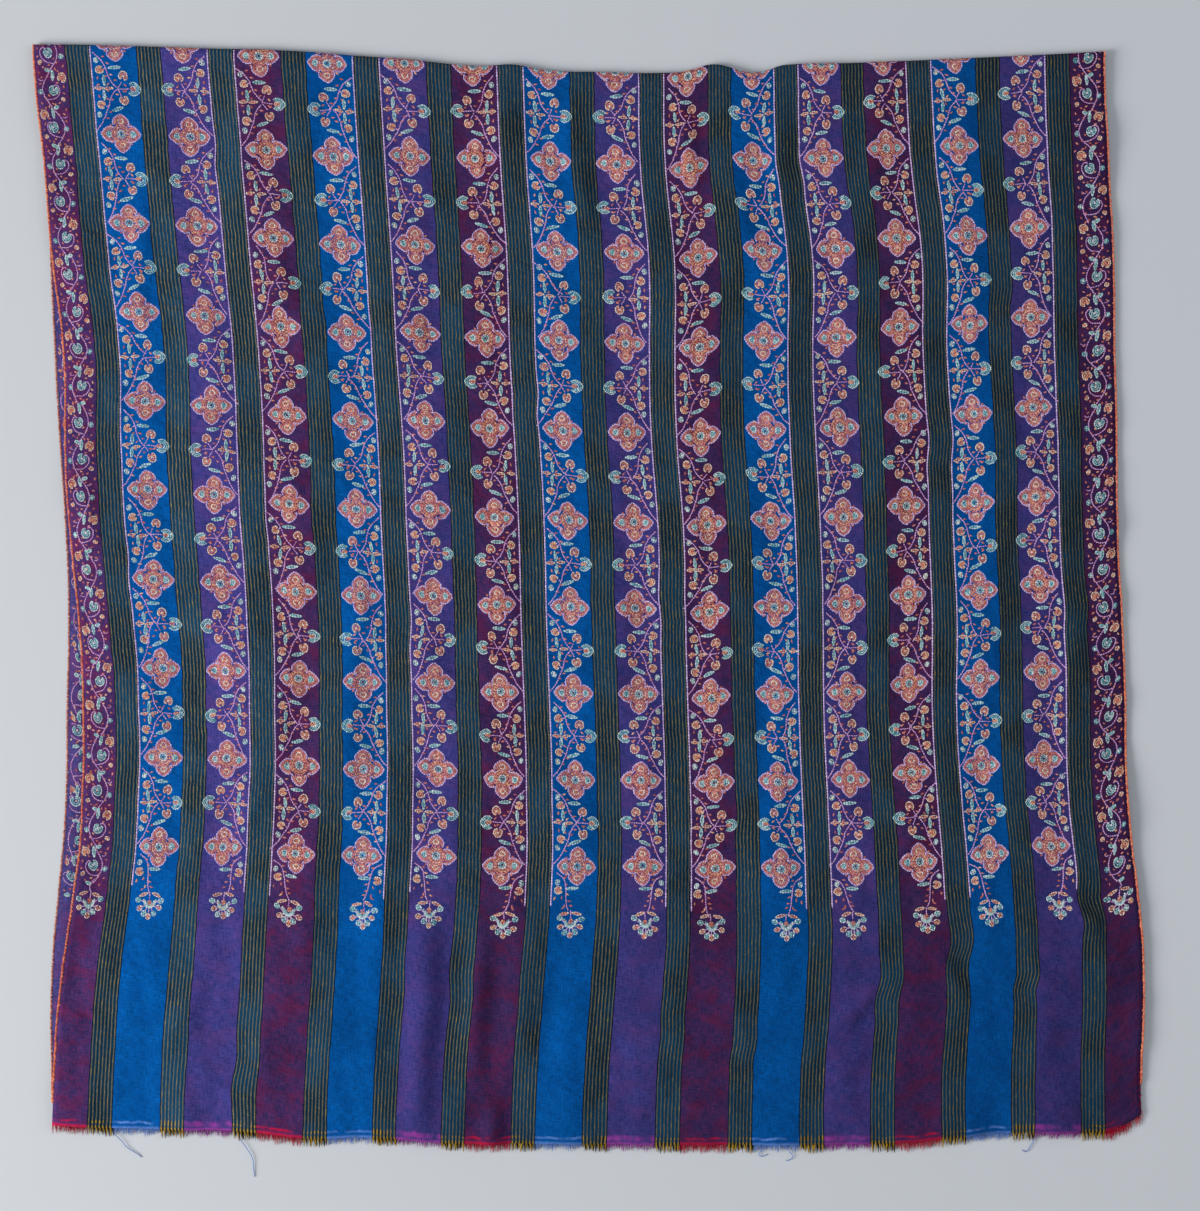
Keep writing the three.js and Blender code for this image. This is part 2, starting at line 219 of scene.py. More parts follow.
def side_steps(across, along):
    """How far the stripes step aside, with a turn each way at the ends of every step."""
    total = np.zeros_like(across)
    for middle_across, middle_along, reach, run, step in KINKS:
        t = (along - middle_along) / run
        total += step * t * np.exp(0.5 - t * t / 2 - ((across - middle_across) / reach) ** 2)
    return total


def ridge_rise(across, along, ridge):
    from_across, from_along, to_across, to_along, width, height = ridge
    run_across, run_along = to_across - from_across, to_along - from_along
    length = math.hypot(run_across, run_along)
    off_across, off_along = across - from_across, along - from_along
    share = (off_across * run_across + off_along * run_along) / length ** 2
    aside = (off_across * run_along - off_along * run_across) / length
    inside = (share > 0) & (share < 1) & (np.abs(aside) < width)
    profile = (1 + np.cos(np.pi * aside / width)) / 2
    return np.where(inside, height * profile * np.sin(np.pi * np.clip(share, 0, 1)), 0)


def crumple(across, along):
    """Small uneven waves of hand-washed wool, a sum of seeded ones in all directions."""
    rng = np.random.default_rng(11)
    total = np.zeros_like(across)
    for wavelength in CRUMPLE_WAVES:
        angle, phase = rng.uniform(0, np.pi), rng.uniform(0, 2 * np.pi)
        stretch = 2 * np.pi / wavelength
        turn = stretch * (across * math.cos(angle) + 0.6 * along * math.sin(angle)) + phase
        total += CRUMPLE_SHARE * wavelength * np.sin(turn)
    return total


def rise(across, along):
    height = np.full_like(across, REST_RISE)
    for size, per_across, per_along, phase in WAVES:
        turn = 2 * np.pi * (across / per_across + along / per_along) + phase
        height += size * (1 + np.sin(turn)) / 2
    for ridge in RIDGES:
        height += ridge_rise(across, along, ridge)
    near_right = smoothstep(CLOTH_WIDTH - LIFT_WIDTH, CLOTH_WIDTH, across) ** 2
    height *= 1 - LIFT_FLATTENING * near_right
    for middle, half, size in RIGHT_LIFTS:
        off = np.clip((along - middle) / half, -1, 1)
        height += size * near_right * (1 + np.cos(np.pi * off)) / 2
    height = np.maximum(height + CRUMPLE_RAISE + crumple(across, along), LEAST_RISE)
    height = RISE_LIMIT * np.tanh(height / RISE_LIMIT)
    at_fold = FOLD_HEIGHT - UPPER_REST - CLOTH_WALL
    to_fold = smoothstep(LAYER_LENGTH - FOLD_SOFTNESS, LAYER_LENGTH, along)
    return height + (at_fold - height) * to_fold


def turned(across, along, radius):
    """Y and Z of a point of the fold, where along runs on past the layer's length."""
    angle = np.clip(along - LAYER_LENGTH, 0, None) / FOLD_RADIUS
    fold = between(FOLD_LINE[:, 0], FOLD_LINE[:, 1], across)
    return fold - FOLD_RADIUS + radius * np.sin(angle), FOLD_RADIUS + radius * np.cos(angle)


def upper_surface(across, along, depth=0.0):
    """Points on the upper layer's right side, or depth below it, going on round the fold."""
    flat_along = np.minimum(along, LAYER_LENGTH)
    end = between(END_LINE[:, 0], END_LINE[:, 1], across)
    fold = between(FOLD_LINE[:, 0], FOLD_LINE[:, 1], across) - FOLD_RADIUS
    y = end + (fold - end) * flat_along / LAYER_LENGTH
    x = upper_x(across, y) + side_steps(across, flat_along)
    z = UPPER_REST + CLOTH_WALL + rise(across, flat_along) - depth
    turn_y, turn_z = turned(across, along, FOLD_RADIUS - depth)
    past = along > LAYER_LENGTH
    return placed(x, np.where(past, turn_y, y), np.where(past, turn_z, z))


def under_surface(across, along, height=UNDER_LIFT):
    """Points of the under layer, which lies flat."""
    end = between(END_LINE[:, 0], END_LINE[:, 1], across) + UNDER_END_INSET
    turn_y = between(FOLD_LINE[:, 0], FOLD_LINE[:, 1], across) - FOLD_RADIUS
    y = end + (turn_y - end) * along / LAYER_LENGTH
    left, right = course("under_left", y), course("under_right", y)
    hidden = left + (right - left) * across / CLOTH_WIDTH
    x = hidden + (upper_x(across, y) - hidden) * smoothstep(JOIN_START, LAYER_LENGTH, along)
    return placed(x, y, np.full_like(x, height))


def under_top_at(across, along):
    return under_surface(across, along, UNDER_LIFT + SHOWN_WALL)


def placed(x, y, z):
    return np.stack([x - MIDDLE[0], y - MIDDLE[1], z], axis=-1)


NORMAL_REACH = 1.5


class Surface:
    """A grid of points of the cloth, which the stitches on it are set on."""

    def __init__(self, across, along, points):
        self.across, self.along, self.points = across, along, points

    def at(self, across, along):
        i = np.clip(np.searchsorted(self.across, across) - 1, 0, len(self.across) - 2)
        j = np.clip(np.searchsorted(self.along, along) - 1, 0, len(self.along) - 2)
        s = ((across - self.across[i]) / (self.across[i + 1] - self.across[i]))[:, None]
        t = ((along - self.along[j]) / (self.along[j + 1] - self.along[j]))[:, None]
        low = self.points[j, i] * (1 - s) + self.points[j, i + 1] * s
        high = self.points[j + 1, i] * (1 - s) + self.points[j + 1, i + 1] * s
        return low * (1 - t) + high * t

    def normal(self, across, along):
        over = self.at(across + NORMAL_REACH, along) - self.at(across - NORMAL_REACH, along)
        up = self.at(across, along + NORMAL_REACH) - self.at(across, along - NORMAL_REACH)
        return unit(np.cross(over, up))


def unit(vectors):
    return vectors / np.maximum(np.linalg.norm(vectors, axis=-1, keepdims=True), 1e-9)


# Meshes

def pairs(first, second):
    """Rows of two numbers from two arrays, stretched to one shape."""
    return np.stack(np.broadcast_arrays(first, second), -1).reshape(-1, 2)


def new_object(name, vertices, faces, maps, material, smooth=True):
    """An object from points in millimetres, faces of one size and UV maps with a row a corner."""
    mesh = bpy.data.meshes.new(name)
    sides = faces.shape[1]
    mesh.vertices.add(len(vertices))
    mesh.vertices.foreach_set("co", (vertices * MM).astype(np.float32).ravel())
    mesh.loops.add(faces.size)
    mesh.loops.foreach_set("vertex_index", faces.astype(np.int32).ravel())
    mesh.polygons.add(len(faces))
    mesh.polygons.foreach_set("loop_start", np.arange(0, faces.size, sides, dtype=np.int32))
    mesh.polygons.foreach_set("use_smooth", np.full(len(faces), smooth))
    for map_name, places in maps.items():
        layer = mesh.uv_layers.new(name=map_name)
        layer.data.foreach_set("uv", places.astype(np.float32).ravel())
    mesh.update(calc_edges=True)
    mesh.validate()
    mesh.materials.append(material)
    piece = bpy.data.objects.new(name, mesh)
    bpy.context.scene.collection.objects.link(piece)
    return piece


def shell(name, across, along, outer, inner, material):
    """A closed thin wall between two grids of points, rows along and columns across."""
    rows, columns = len(along), len(across)
    index = np.arange(rows * columns).reshape(rows, columns)
    a, b, c, d = index[:-1, :-1], index[:-1, 1:], index[1:, 1:], index[1:, :-1]
    top = np.stack([a, b, c, d], -1).reshape(-1, 4)
    bottom = top[:, ::-1] + rows * columns
    rim = np.concatenate([index[0, :-1], index[:-1, -1], index[-1, :0:-1], index[:0:-1, 0]])
    following = np.roll(rim, -1)
    sides = np.stack([following, rim, rim + rows * columns, following + rows * columns], -1)
    faces = np.concatenate([top, bottom, sides])
    vertices = np.concatenate([outer.reshape(-1, 3), inner.reshape(-1, 3)])
    cloth = pairs(across, along[:, None])
    cloth = np.concatenate([cloth, cloth])[faces.ravel()]
    span = np.array([CLOTH_WIDTH, along[-1] + 1.0])
    maps = {"Cloth": cloth * MM, "OFBake": cloth / span}
    return new_object(name, vertices, faces, maps, material)


# Corners of one stitch: its two ends, its two sides and its crest. A plain one has no crest, and
# one of its sides stands higher.
STITCH_FACES = np.array([(0, 3, 4), (3, 1, 4), (1, 2, 4), (2, 0, 4), (0, 2, 3), (1, 3, 2)])
PLAIN_FACES = np.array([(0, 3, 2), (1, 2, 3), (0, 1, 3), (0, 2, 1)])
STITCH_PLACES = np.array([(0.05, 0.5), (0.95, 0.5), (0.5, 0.95), (0.5, 0.05), (0.5, 0.5)])
STITCH_FOOT = 0.04
STITCH_CREST = 0.42
PLAIN_CREST = -0.27


def stitch_corners(surface, rows, crest, rng):
    """Corners of stitches of (across, along, to across, to along, width), above or below."""
    start, end = surface.at(rows[:, 0], rows[:, 1]), surface.at(rows[:, 2], rows[:, 3])
    middle_place = (rows[:, 0] + rows[:, 2]) / 2, (rows[:, 1] + rows[:, 3]) / 2
    middle = surface.at(*middle_place)
    normal = surface.normal(*middle_place) * math.copysign(1, crest)
    aside = unit(np.cross(normal, end - start)) * rows[:, 4:5] / 2
    high = middle + normal * abs(crest) * (0.8 + 0.4 * rng.random((len(rows), 1)))
    low = normal * STITCH_FOOT
    return np.stack([start + low, end + low, middle + aside + low, middle - aside + low, high], 1)


def stitch_object(name, corners, shade, material, stitch_faces=STITCH_FACES):
    """One object from the corners of its stitches, with a shade from 0 to 1 for each."""
    count, size = corners.shape[:2]
    faces = (stitch_faces[None] + size * np.arange(count)[:, None, None]).reshape(-1, 3)
    local = STITCH_PLACES[stitch_faces].reshape(1, -1, 2)
    columns = math.ceil(math.sqrt(count))
    cell = np.stack([np.arange(count) % columns, np.arange(count) // columns], -1)[:, None]
    baked = ((cell + local) / columns).reshape(-1, 2)
    maps = {"Stitch": pairs(local[..., 0], shade[:, None]), "OFBake": baked}
    return new_object(name, corners.reshape(-1, 3), faces, maps, material, smooth=False)


def stitches(name, surface, rows, material, seed, crest=STITCH_CREST):
    """One object of stitches from their rows. Those below the surface are plain, with four faces."""
    rng = np.random.default_rng(seed)
    corners = stitch_corners(surface, rows, crest, rng)
    shade = rng.random(len(rows))
    if crest > 0:
        return stitch_object(name, corners, shade, material)
    corners[:, 3] += (corners[:, 4] - (corners[:, 0] + corners[:, 1]) / 2) * 0.9
    return stitch_object(name, corners[:, :4], shade, material, PLAIN_FACES)


# Chart of the needlework. A chart's own frame has x outwards from the stitched line beside the
# stripe and y towards the fold.

class Chart:
    """Stitches of (x, y, to x, to y, width), by colour, in groups that are shifted as one."""

    def __init__(self):
        self.rows, self.colours, self.groups, self.group = [], [], [], 0

    def part(self):
        self.group += 1

    def stitch(self, start, end, width, colour):
        self.rows.append((*start, *end, width))
        self.colours.append(colour)
        self.groups.append(self.group)

    def line(self, points, width, colour, length=2.0, lap=0.35):
        """A row of stitches along a line of points, each lapping over the next."""
        points = np.asarray(points, float)
        steps = np.linalg.norm(np.diff(points, axis=0), axis=1)
        run = np.concatenate([[0], np.cumsum(steps)])
        count = max(1, round(run[-1] / length))
        stops = np.linspace(0, run[-1], count + 1)
        for k in range(count):
            low, high = stops[k] - lap, stops[k + 1] + lap
            start = [np.interp(max(low, 0), run, points[:, i]) for i in (0, 1)]
            end = [np.interp(min(high, run[-1]), run, points[:, i]) for i in (0, 1)]
            self.stitch(start, end, width, colour)

    def arrays(self):
        return np.array(self.rows), np.array(self.colours), np.array(self.groups)


def curve(points, steps=8):
    """A smooth line through points."""
    points = np.asarray(points, float)
    keys = np.arange(len(points))
    at = np.linspace(0, len(points) - 1, (len(points) - 1) * steps + 1)
    return np.stack([between(keys, column, at) for column in points.T], -1)


def turn_by(points, degrees, centre):
    angle = math.radians(degrees)
    matrix = np.array([[math.cos(angle), math.sin(angle)], [-math.sin(angle), math.cos(angle)]])
    return np.asarray(points, float) @ matrix + centre


def leaf(chart, centre, length, width, degrees, rim, heart):
    """Two bowed sides, with longer stitches between them."""
    chart.part()
    half, bow = length / 2, width * 0.36
    for side in (-1, 1):
        points = curve([(-half, 0), (-half * 0.4, side * bow), (half * 0.35, side * bow), (half, 0)])
        chart.line(turn_by(points, degrees, centre), max(1.05, width * 0.42), rim, 2.5)
    middle = turn_by([(-half * 0.7, 0), (half * 0.75, 0)], degrees, centre)
    chart.line(middle, width * 0.46, heart, 2.8, 0.5)


BUD_STITCH = 1.45


def bud(chart, centre, length, width, degrees, rim, heart):
    """Four stitches about a fifth, pointed at both ends."""
    chart.part()
    corners = [(-length / 2, 0), (0, width / 2), (length / 2, 0), (0, -width / 2), (-length / 2, 0)]
    corners = turn_by(corners, degrees, centre)
    for start, end in zip(corners[:-1], corners[1:]):
        chart.stitch(start, end, BUD_STITCH, rim)
    ends = turn_by([(-length * 0.3, 0), (length * 0.3, 0)], degrees, centre)
    chart.stitch(*ends, width * 0.48, heart)


def dash(chart, centre, degrees, length=3.9, width=1.7):
    chart.part()
    chart.stitch(*turn_by([(-length / 2, 0), (length / 2, 0)], degrees, centre), width, "coral")


# Rings of stitches about a flower's heart: (share of the radius, width, half the gap in degrees)
HEART_RINGS = ((0.88, 1.5, 13), (0.56, 1.9, 6), (0.24, 2.1, 0))
FAN_RINGS = ((1.0, 1.5, 36), (0.74, 1.8, 32), (0.48, 1.6, 26))
FAN_TONES = ("mint", "aqua", "mint")


def ring_angles(opens, gap):
    return np.linspace(opens + gap, opens + 360 - gap, 25)


def heart_flower(chart, centre, radius, opens, tones):
    """A filled flower of three rings, notched on one side and pointed on the other."""
    chart.part()
    for (share, width, gap), tone in zip(HEART_RINGS, tones):
        angles = ring_angles(opens, gap)
        off = (angles - opens + 180) % 360 - 180
        notch = 0.4 * np.exp(-(off / 30) ** 2)
        point = 0.14 * np.exp(-((180 - np.abs(off)) / 28) ** 2)
        reach = radius * share * (1 - notch + point + 0.06 * np.cos(np.radians(off) * 2))
        angles = np.radians(angles)
        points = np.stack([reach * np.cos(angles), reach * np.sin(angles)], -1)
        chart.line(points + centre, width, tone, 2.0)


def fan_flower(chart, centre, radius, opens):
    """A larger open flower with a pointed tip away from its stem and a bright heart."""
    chart.part()
    for (share, width, gap), tone in zip(FAN_RINGS, FAN_TONES):
        angles = np.radians(ring_angles(opens, gap))
        tip = np.exp(-((np.degrees(angles) - opens - 180) / 17) ** 2)
        reach = radius * share * (1 + 0.3 * tip)
        points = np.stack([reach * np.cos(angles) * 0.92, reach * np.sin(angles)], -1)
        chart.line(points + centre, width, tone, 2.1)
    heart = turn_by([(0.9, 0)], opens, centre)[0]
    bud(chart, heart, 5.6, 4.0, opens, "salmon", "coral")


# Half outlines of a petal, from the corner between two petals to its tip
POINTED_PETAL = [(6.3, 6.5), (8.8, 7.2), (12.0, 7.0), (15.6, 3.9), (18.8, 0)]
ROUND_PETAL = [(6.5, 6.3), (8.6, 7.2), (12.0, 6.9), (15.2, 4.4), (17.2, 1.8), (18.4, 0)]
PETAL_HEART = 11.4
ROW_SHARES = (1.0, 0.80, 0.60, 0.40, 0.20)
ROW_WIDTHS = (1.7, 1.9, 1.8, 1.85, 1.6)
POINTED_TONES = ("lilac", "coral", "rose", "mint", "aqua")
ROUND_TONES = ("lilac", "coral", "rose", "cream", "coral")
MEDALLION_DASHES = (42, 138, 222, 318)
MEDALLION_RINGS = (
    (8.4, "coral", 17, 1.95), (6.7, "salmon", 14, 1.85), (5.1, "coral", 12, 1.85), (3.6, "pearl", 9, 2.0),
    (2.0, "aqua", 6, 1.5),
)


def medallion(chart, centre):
    """A flower of four petals worked in rows, pointed across the stripe and round along it."""
    chart.part()
    for radius, tone, count, width in MEDALLION_RINGS:
        for k in range(count):
            angles = np.radians([360 * k / count - 4, 360 * (k + 1) / count + 3])
            ends = np.stack([radius * np.cos(angles), radius * np.sin(angles)], -1) + centre
            chart.stitch(*ends, width, tone)
    for degrees, half, tones in (
        (0, POINTED_PETAL, POINTED_TONES), (180, POINTED_PETAL, POINTED_TONES),
        (90, ROUND_PETAL, ROUND_TONES), (270, ROUND_PETAL, ROUND_TONES),
    ):
        chart.part()
        outline = curve(half, 5)
        outline = np.concatenate([outline, outline[-2::-1] * (1, -1)])
        for share, width, tone in zip(ROW_SHARES, ROW_WIDTHS, tones):
            row = (outline - (PETAL_HEART, 0)) * share + (PETAL_HEART, 0)
            if share < 0.7:
                row = np.concatenate([row, row[:1]])
            chart.line(turn_by(row, degrees, centre), width, tone, 2.2)
        for offset in (-3.2, 0, 3.2):
            stem = turn_by([(5.6, offset), (8.8, offset * 1.1)], degrees, centre)
            chart.stitch(*stem, 1.2, "vine" if offset == 0 else "rose")
    chart.part()
    chart.stitch(np.add(centre, (-1.1, 0)), np.add(centre, (1.1, 0)), 1.7, "rust")
    for degrees in MEDALLION_DASHES:
        dash(chart, turn_by([(12.0, 0)], degrees, centre)[0], degrees, 3.6, 1.9)


# The vine of half a repeat, from a medallion down to the sprig between two medallions
VINE = [(2.2, -9.4), (6.2, -12.8), (9.5, -16.1), (12.0, -20.3), (13.8, -24.5), (14.6, -29.0),
        (16.4, -33.6), (19.2, -38.0), (22.0, -40.8)]
SPRIG_NODE = (22.0, -40.8)
LOWER_VINE_START = [(0.6, -1.0), (3.6, -4.4), (7.4, -10.0)]
MEDALLION_MIDDLE = (22.6, 0)
VINE_DASHES = [
    (10.8, -13.8, 10), (14.6, -19.2, -15), (17.2, -30.2, -20), (12.0, -31.0, 35), (21.0, -34.8, 5),
    (5.6, -32.6, 80), (5.4, -38.6, 15), (13.6, -37.6, 45), (29.4, -37.4, -35),
]


def sprig(chart, upper):
    """Half of what lies between two medallions, the half by the upper one or its mirror."""
    middle = SPRIG_NODE[1]

    def at(x, y):
        return (x, y if upper else 2 * middle - y)

    def angle(degrees):
        return degrees if upper else -degrees

    chart.part()
    vine = VINE if upper else [*LOWER_VINE_START, *VINE[3:]]
    chart.line(curve([at(*point) for point in vine], 5), 1.4, "vine", 2.4)
    chart.line([at(13.4, -23.6), at(10.6, -24.4)], 1.2, "vine")
    bud(chart, at(4.8, -16.6), 6.0, 4.8, angle(65), "mint", "pearl")
    heart_flower(chart, at(8.0, -25.0), 4.2, angle(20), ("cream", "salmon", "coral"))
    leaf(chart, at(21.0, -22.4), 12.4, 3.1, angle(-2 if upper else -16), "mint", "aqua")
    chart.part()
    chart.line([SPRIG_NODE, at(25.8, -34.2)], 1.15, "vine", 2.4)
    heart_flower(chart, at(27.6, -30.6), 4.7, angle(255), ("cream", "coral", "cream"))
    leaf(chart, at(9.9, -34.6), 10.6, 3.0, angle(92), "mint", "aqua")
    for x, y, degrees in VINE_DASHES:
        dash(chart, at(x, y), angle(degrees))


def sprig_middle(chart):
    """The fan flower and the cross's level leaves, which lie on the line the halves share."""
    y = SPRIG_NODE[1]
    chart.part()
    chart.line([SPRIG_NODE, (33.0, y)], 1.15, "vine", 2.4)
    fan_flower(chart, (36.6, y), 6.0, 180)
    for x, tilt in ((5.4, 5), (14.8, 7)):
        leaf(chart, (x, y - 0.2), 8.8, 2.7, tilt, "cream", "coral")
    dash(chart, (28.4, y - 2.6), -20)


# The petals of a bouquet about its cup, and the cup
BOUQUET_PETALS = [
    (-10.2, 4.6), (-8.9, -3.2), (-4.3, -7.4), (0, -10.2), (4.5, -7.3), (9.1, -3.0), (10.2, 4.8),
]
CUP = [(-5.6, 6.0), (-5.0, 1.6), (-3.2, -2.0), (0, -3.6), (3.2, -2.0), (5.0, 1.6), (5.6, 6.2)]


def bouquet(chart, centre):
    """A cup under two larger leaves, with seven petals round it, which ends a row of flowers."""
    x, y = centre
    chart.part()
    chart.line([(x, y + 12.5), (x, y + 5.0)], 1.2, "vine", 2.4)
    for side in (-1, 1):
        leaf(chart, (x + side * 5.6, y + 9.8), 9.6, 2.9, side * -16, "cream", "coral")
    chart.part()
    for away, up in BOUQUET_PETALS:
        chart.stitch((x + away * 0.34, y + up * 0.34), (x + away * 0.86, y + up * 0.86), 1.2, "vine")
    for grow, tone in ((1.0, "mint"), (0.74, "pearl"), (0.46, "aqua")):
        chart.line(curve(np.array(CUP) * (grow, grow * 0.9) + centre, 4), 2.1, tone, 2.2)
    bud(chart, (x, y + 2.6), 5.0, 4.2, 90, "salmon", "coral")
    tones = (("mint", "aqua"), ("cream", "coral"))
    for k, (away, up) in enumerate(BOUQUET_PETALS):
        rim, heart = tones[k % 2]
        bud(chart, (x + away, y + up), 6.5, 5.4, math.degrees(math.atan2(up, away)), rim, heart)


def row_chart():
    """One medallion with what lies below it, down to the next."""
    chart = Chart()
    medallion(chart, MEDALLION_MIDDLE)
    sprig(chart, True)
    sprig_middle(chart)
    sprig(chart, False)
    return chart.arrays()


LAST_VINE = [(2.2, -8.4), (6.6, -10.8), (10.2, -13.6), (12.6, -20.4), (14.0, -29.0), (15.8, -38.0),
             (18.4, -43.0)]
LAST_DASHES = [
    (11.4, -11.8, -10), (13.6, -17.0, -15), (16.0, -26.4, -30), (10.2, -29.4, 80), (3.6, -31.6, 75),
    (17.2, -32.0, -10), (12.2, -37.0, 80), (10.6, -39.2, 30), (18.6, -36.6, -15),
]


def last_chart():
    """The last medallion of a stripe and its bouquet."""
    chart = Chart()
    medallion(chart, MEDALLION_MIDDLE)
    chart.part()
    chart.line(curve(LAST_VINE, 5), 1.4, "vine", 2.3)
    bud(chart, (4.7, -15.4), 6.0, 4.8, 65, "mint", "pearl")
    heart_flower(chart, (6.8, -23.4), 4.2, 10, ("cream", "salmon", "coral"))
    leaf(chart, (19.0, -20.6), 12.2, 3.0, -3, "mint", "aqua")
    for x, y, degrees in LAST_DASHES:
        dash(chart, (x, y), degrees)
    bouquet(chart, (18.6, -BOUQUET_DROP))
    return chart.arrays()


# The border's winding stem and what grows from it in each half turn
BORDER_HALF = 34.0
BORDER_SWING = 8.6
BORDER_TENDRIL = [(5.2, -9.6), (0.6, -9.2), (-4.4, -7.4), (-8.0, -2.6), (-8.2, 2.2), (-5.6, 5.0),
                  (-3.0, 3.6)]
BORDER_DASHES = [
    (-12.0, 3.4, 70), (-1.0, -11.8, 10), (9.8, 11.4, -30), (11.4, 5.6, -20), (7.0, -8.0, 60),
    (7.6, -17.6, 80), (-4.2, 18.6, 75), (3.0, 20.0, 60), (11.4, -11.6, 40), (-11.8, -3.0, 30),
    (-7.6, 18.2, 20), (4.6, 12.4, 20), (-5.6, 6.6, -10), (-13.0, 15.6, 60), (12.2, 16.4, 70),
    (-6.8, -12.6, -30), (3.4, -4.8, 45),
]


def border_chart():
    """Half a turn of the border, with the stem at its widest to the right in its middle."""
    chart = Chart()
    chart.part()
    run = np.linspace(-BORDER_HALF / 2, BORDER_HALF / 2, 15)
    stem = np.stack([BORDER_SWING * np.cos(np.pi * run / BORDER_HALF), run], -1)
    chart.line(stem, 1.35, "vine", 2.3)
    chart.line(curve(BORDER_TENDRIL, 4), 1.25, "vine", 2.2)
    chart.line(curve([(7.4, 9.4), (10.4, 8.6), (12.0, 10.8)], 3), 1.1, "vine", 2.0)
    heart_flower(chart, (-1.6, 0.6), 5.3, 110, ("mint", "aqua", "pearl"))
    heart_flower(chart, (-9.2, 11.4), 4.7, 300, ("cream", "salmon", "coral"))
    leaf(chart, (-0.6, 13.0), 10.6, 3.2, 98, "mint", "aqua")
    leaf(chart, (-3.2, -16.8), 6.2, 3.6, 160, "mint", "aqua")
    bud(chart, (-10.4, -8.6), 4.8, 4.2, 30, "cream", "salmon")
    bud(chart, (10.8, -2.2), 5.4, 4.8, 60, "aqua", "mint")
    for x, y, degrees in BORDER_DASHES:
        dash(chart, (x, y), degrees, 3.3, 1.7)
    return chart.arrays()


def border_bouquet_chart():
    chart = Chart()
    bouquet(chart, (0, 0))
    chart.part()
    chart.line(curve([(0, 12), (-2.0, 16), (3.5, 23)], 5), 1.15, "vine", 2.2)
    return chart.arrays()


# Handwork: how far a stitch's ends shift, evenly or as the hand sways, how far a motif turns, shifts
# and grows, how the widths vary, and the share of stitches in the neighbouring tone
EVEN_SHIFT = 0.05
LOOSE_SHIFT = 0.11
TURN_SPREAD = 4.0
SHIFT_SPREAD = 0.45
GROWTH_SPREAD = 0.04
WIDTH_RANGE = (0.85, 1.15)
MIXED_SHARE = 0.13
NEIGHBOURS = {
    "coral": "salmon", "salmon": "coral", "rose": "coral", "cream": "salmon", "mint": "aqua",
    "aqua": "mint", "pearl": "cream",
}


def spread(chart, places, rng, sway=1.0):
    """A chart's stitches at places of (across, side, along, stretch). Each group is a little off."""
    rows, tones, groups = chart
    loose = EVEN_SHIFT + LOOSE_SHIFT * min(sway, 1)
    neighbours = np.array([NEIGHBOURS.get(tone, tone) for tone in tones])
    made, made_tones = [], []
    count = groups.max() + 1
    middles = np.zeros((count, 2))
    for g in np.unique(groups):
        middles[g] = rows[groups == g][:, :4].reshape(-1, 2).mean(0)
    for across, side, along, stretch in places:
        turns = np.radians(rng.normal(0, TURN_SPREAD * sway, count))[groups]
        shifts = rng.normal(0, SHIFT_SPREAD * sway, (count, 2))[groups]
        sizes = 1 + rng.normal(0, GROWTH_SPREAD * sway, (count, 2))[groups]
        cos, sin = np.cos(turns), np.sin(turns)
        ends = []
        for k in (0, 2):
            off = (rows[:, k:k + 2] - middles[groups]) * sizes
            moved = np.stack([cos * off[:, 0] - sin * off[:, 1], sin * off[:, 0] + cos * off[:, 1]], -1)
            moved += middles[groups] * (1, stretch) + shifts + rng.normal(0, loose, moved.shape)
            ends += [across + side * moved[:, 0], along + moved[:, 1]]
        widths = rows[:, 4] * rng.uniform(*WIDTH_RANGE, len(rows))
        made.append(np.stack([*ends, widths], -1))
        made_tones.append(np.where(rng.random(len(tones)) < MIXED_SHARE, neighbours, tones))
    return np.concatenate(made), np.concatenate(made_tones)


PAIR_GAP = 1.6


def in_pairs(chart):
    """The same chart with every two stitches of a line made one."""
    rows, tones, groups = chart
    kept, k = [], 0
    rows = rows.copy()
    while k < len(rows):
        kept.append(k)
        follows = k + 1 < len(rows) and tones[k + 1] == tones[k] and groups[k + 1] == groups[k]
        if follows and np.hypot(*(rows[k + 1, :2] - rows[k, 2:4])) < PAIR_GAP:
            rows[k, 2:4] = rows[k + 1, 2:4]
            k += 1
        k += 1
    return rows[kept], tones[kept], groups[kept]


def row_alongs(number):
    """Where the medallions of a stripe lie, from its raw end to past the fold."""
    across = band_start(number) + BAND_WIDTH + READ_ACROSS
    end = np.interp(across, END_LINE[:, 0], END_LINE[:, 1])
    fold = np.interp(across, FOLD_LINE[:, 0], FOLD_LINE[:, 1]) - FOLD_RADIUS
    y = (ZERO_ROW - np.array(FLOWER_ROWS[number - 1])) * PIXEL
    # To the whole millimetre, since the readings are no finer
    lowest, fifth, ninth = np.round((y - end) / (fold - end) * LAYER_LENGTH)
    last = ninth + LAST_PITCH
    return np.interp(np.arange(ROWS), (0, 4, 8, 9), (lowest, fifth, ninth, last))


# The stitched lines' distance from the dark bands and their end, the borders' bouquets as places
# of (across, side, along, stretch), and how far past them the winding stems start
LINE_INSET = 0.6
LINE_END = LAYER_LENGTH + 8
BORDER_MIDDLE = BORDER_WIDTH / 2 + 0.8
BORDER_BOUQUETS = ((BORDER_MIDDLE, 1, 210.5, 1.0), (CLOTH_WIDTH - BORDER_MIDDLE, -1, 214.0, 1.0))
STEM_START = 36
BORDER_TURNS = 23


def winding(across, side, start):
    """The places of a border's half turns, each the mirror of the last."""
    return [(across, side * (-1) ** k, start + BORDER_HALF * k, 1.0) for k in range(BORDER_TURNS)]


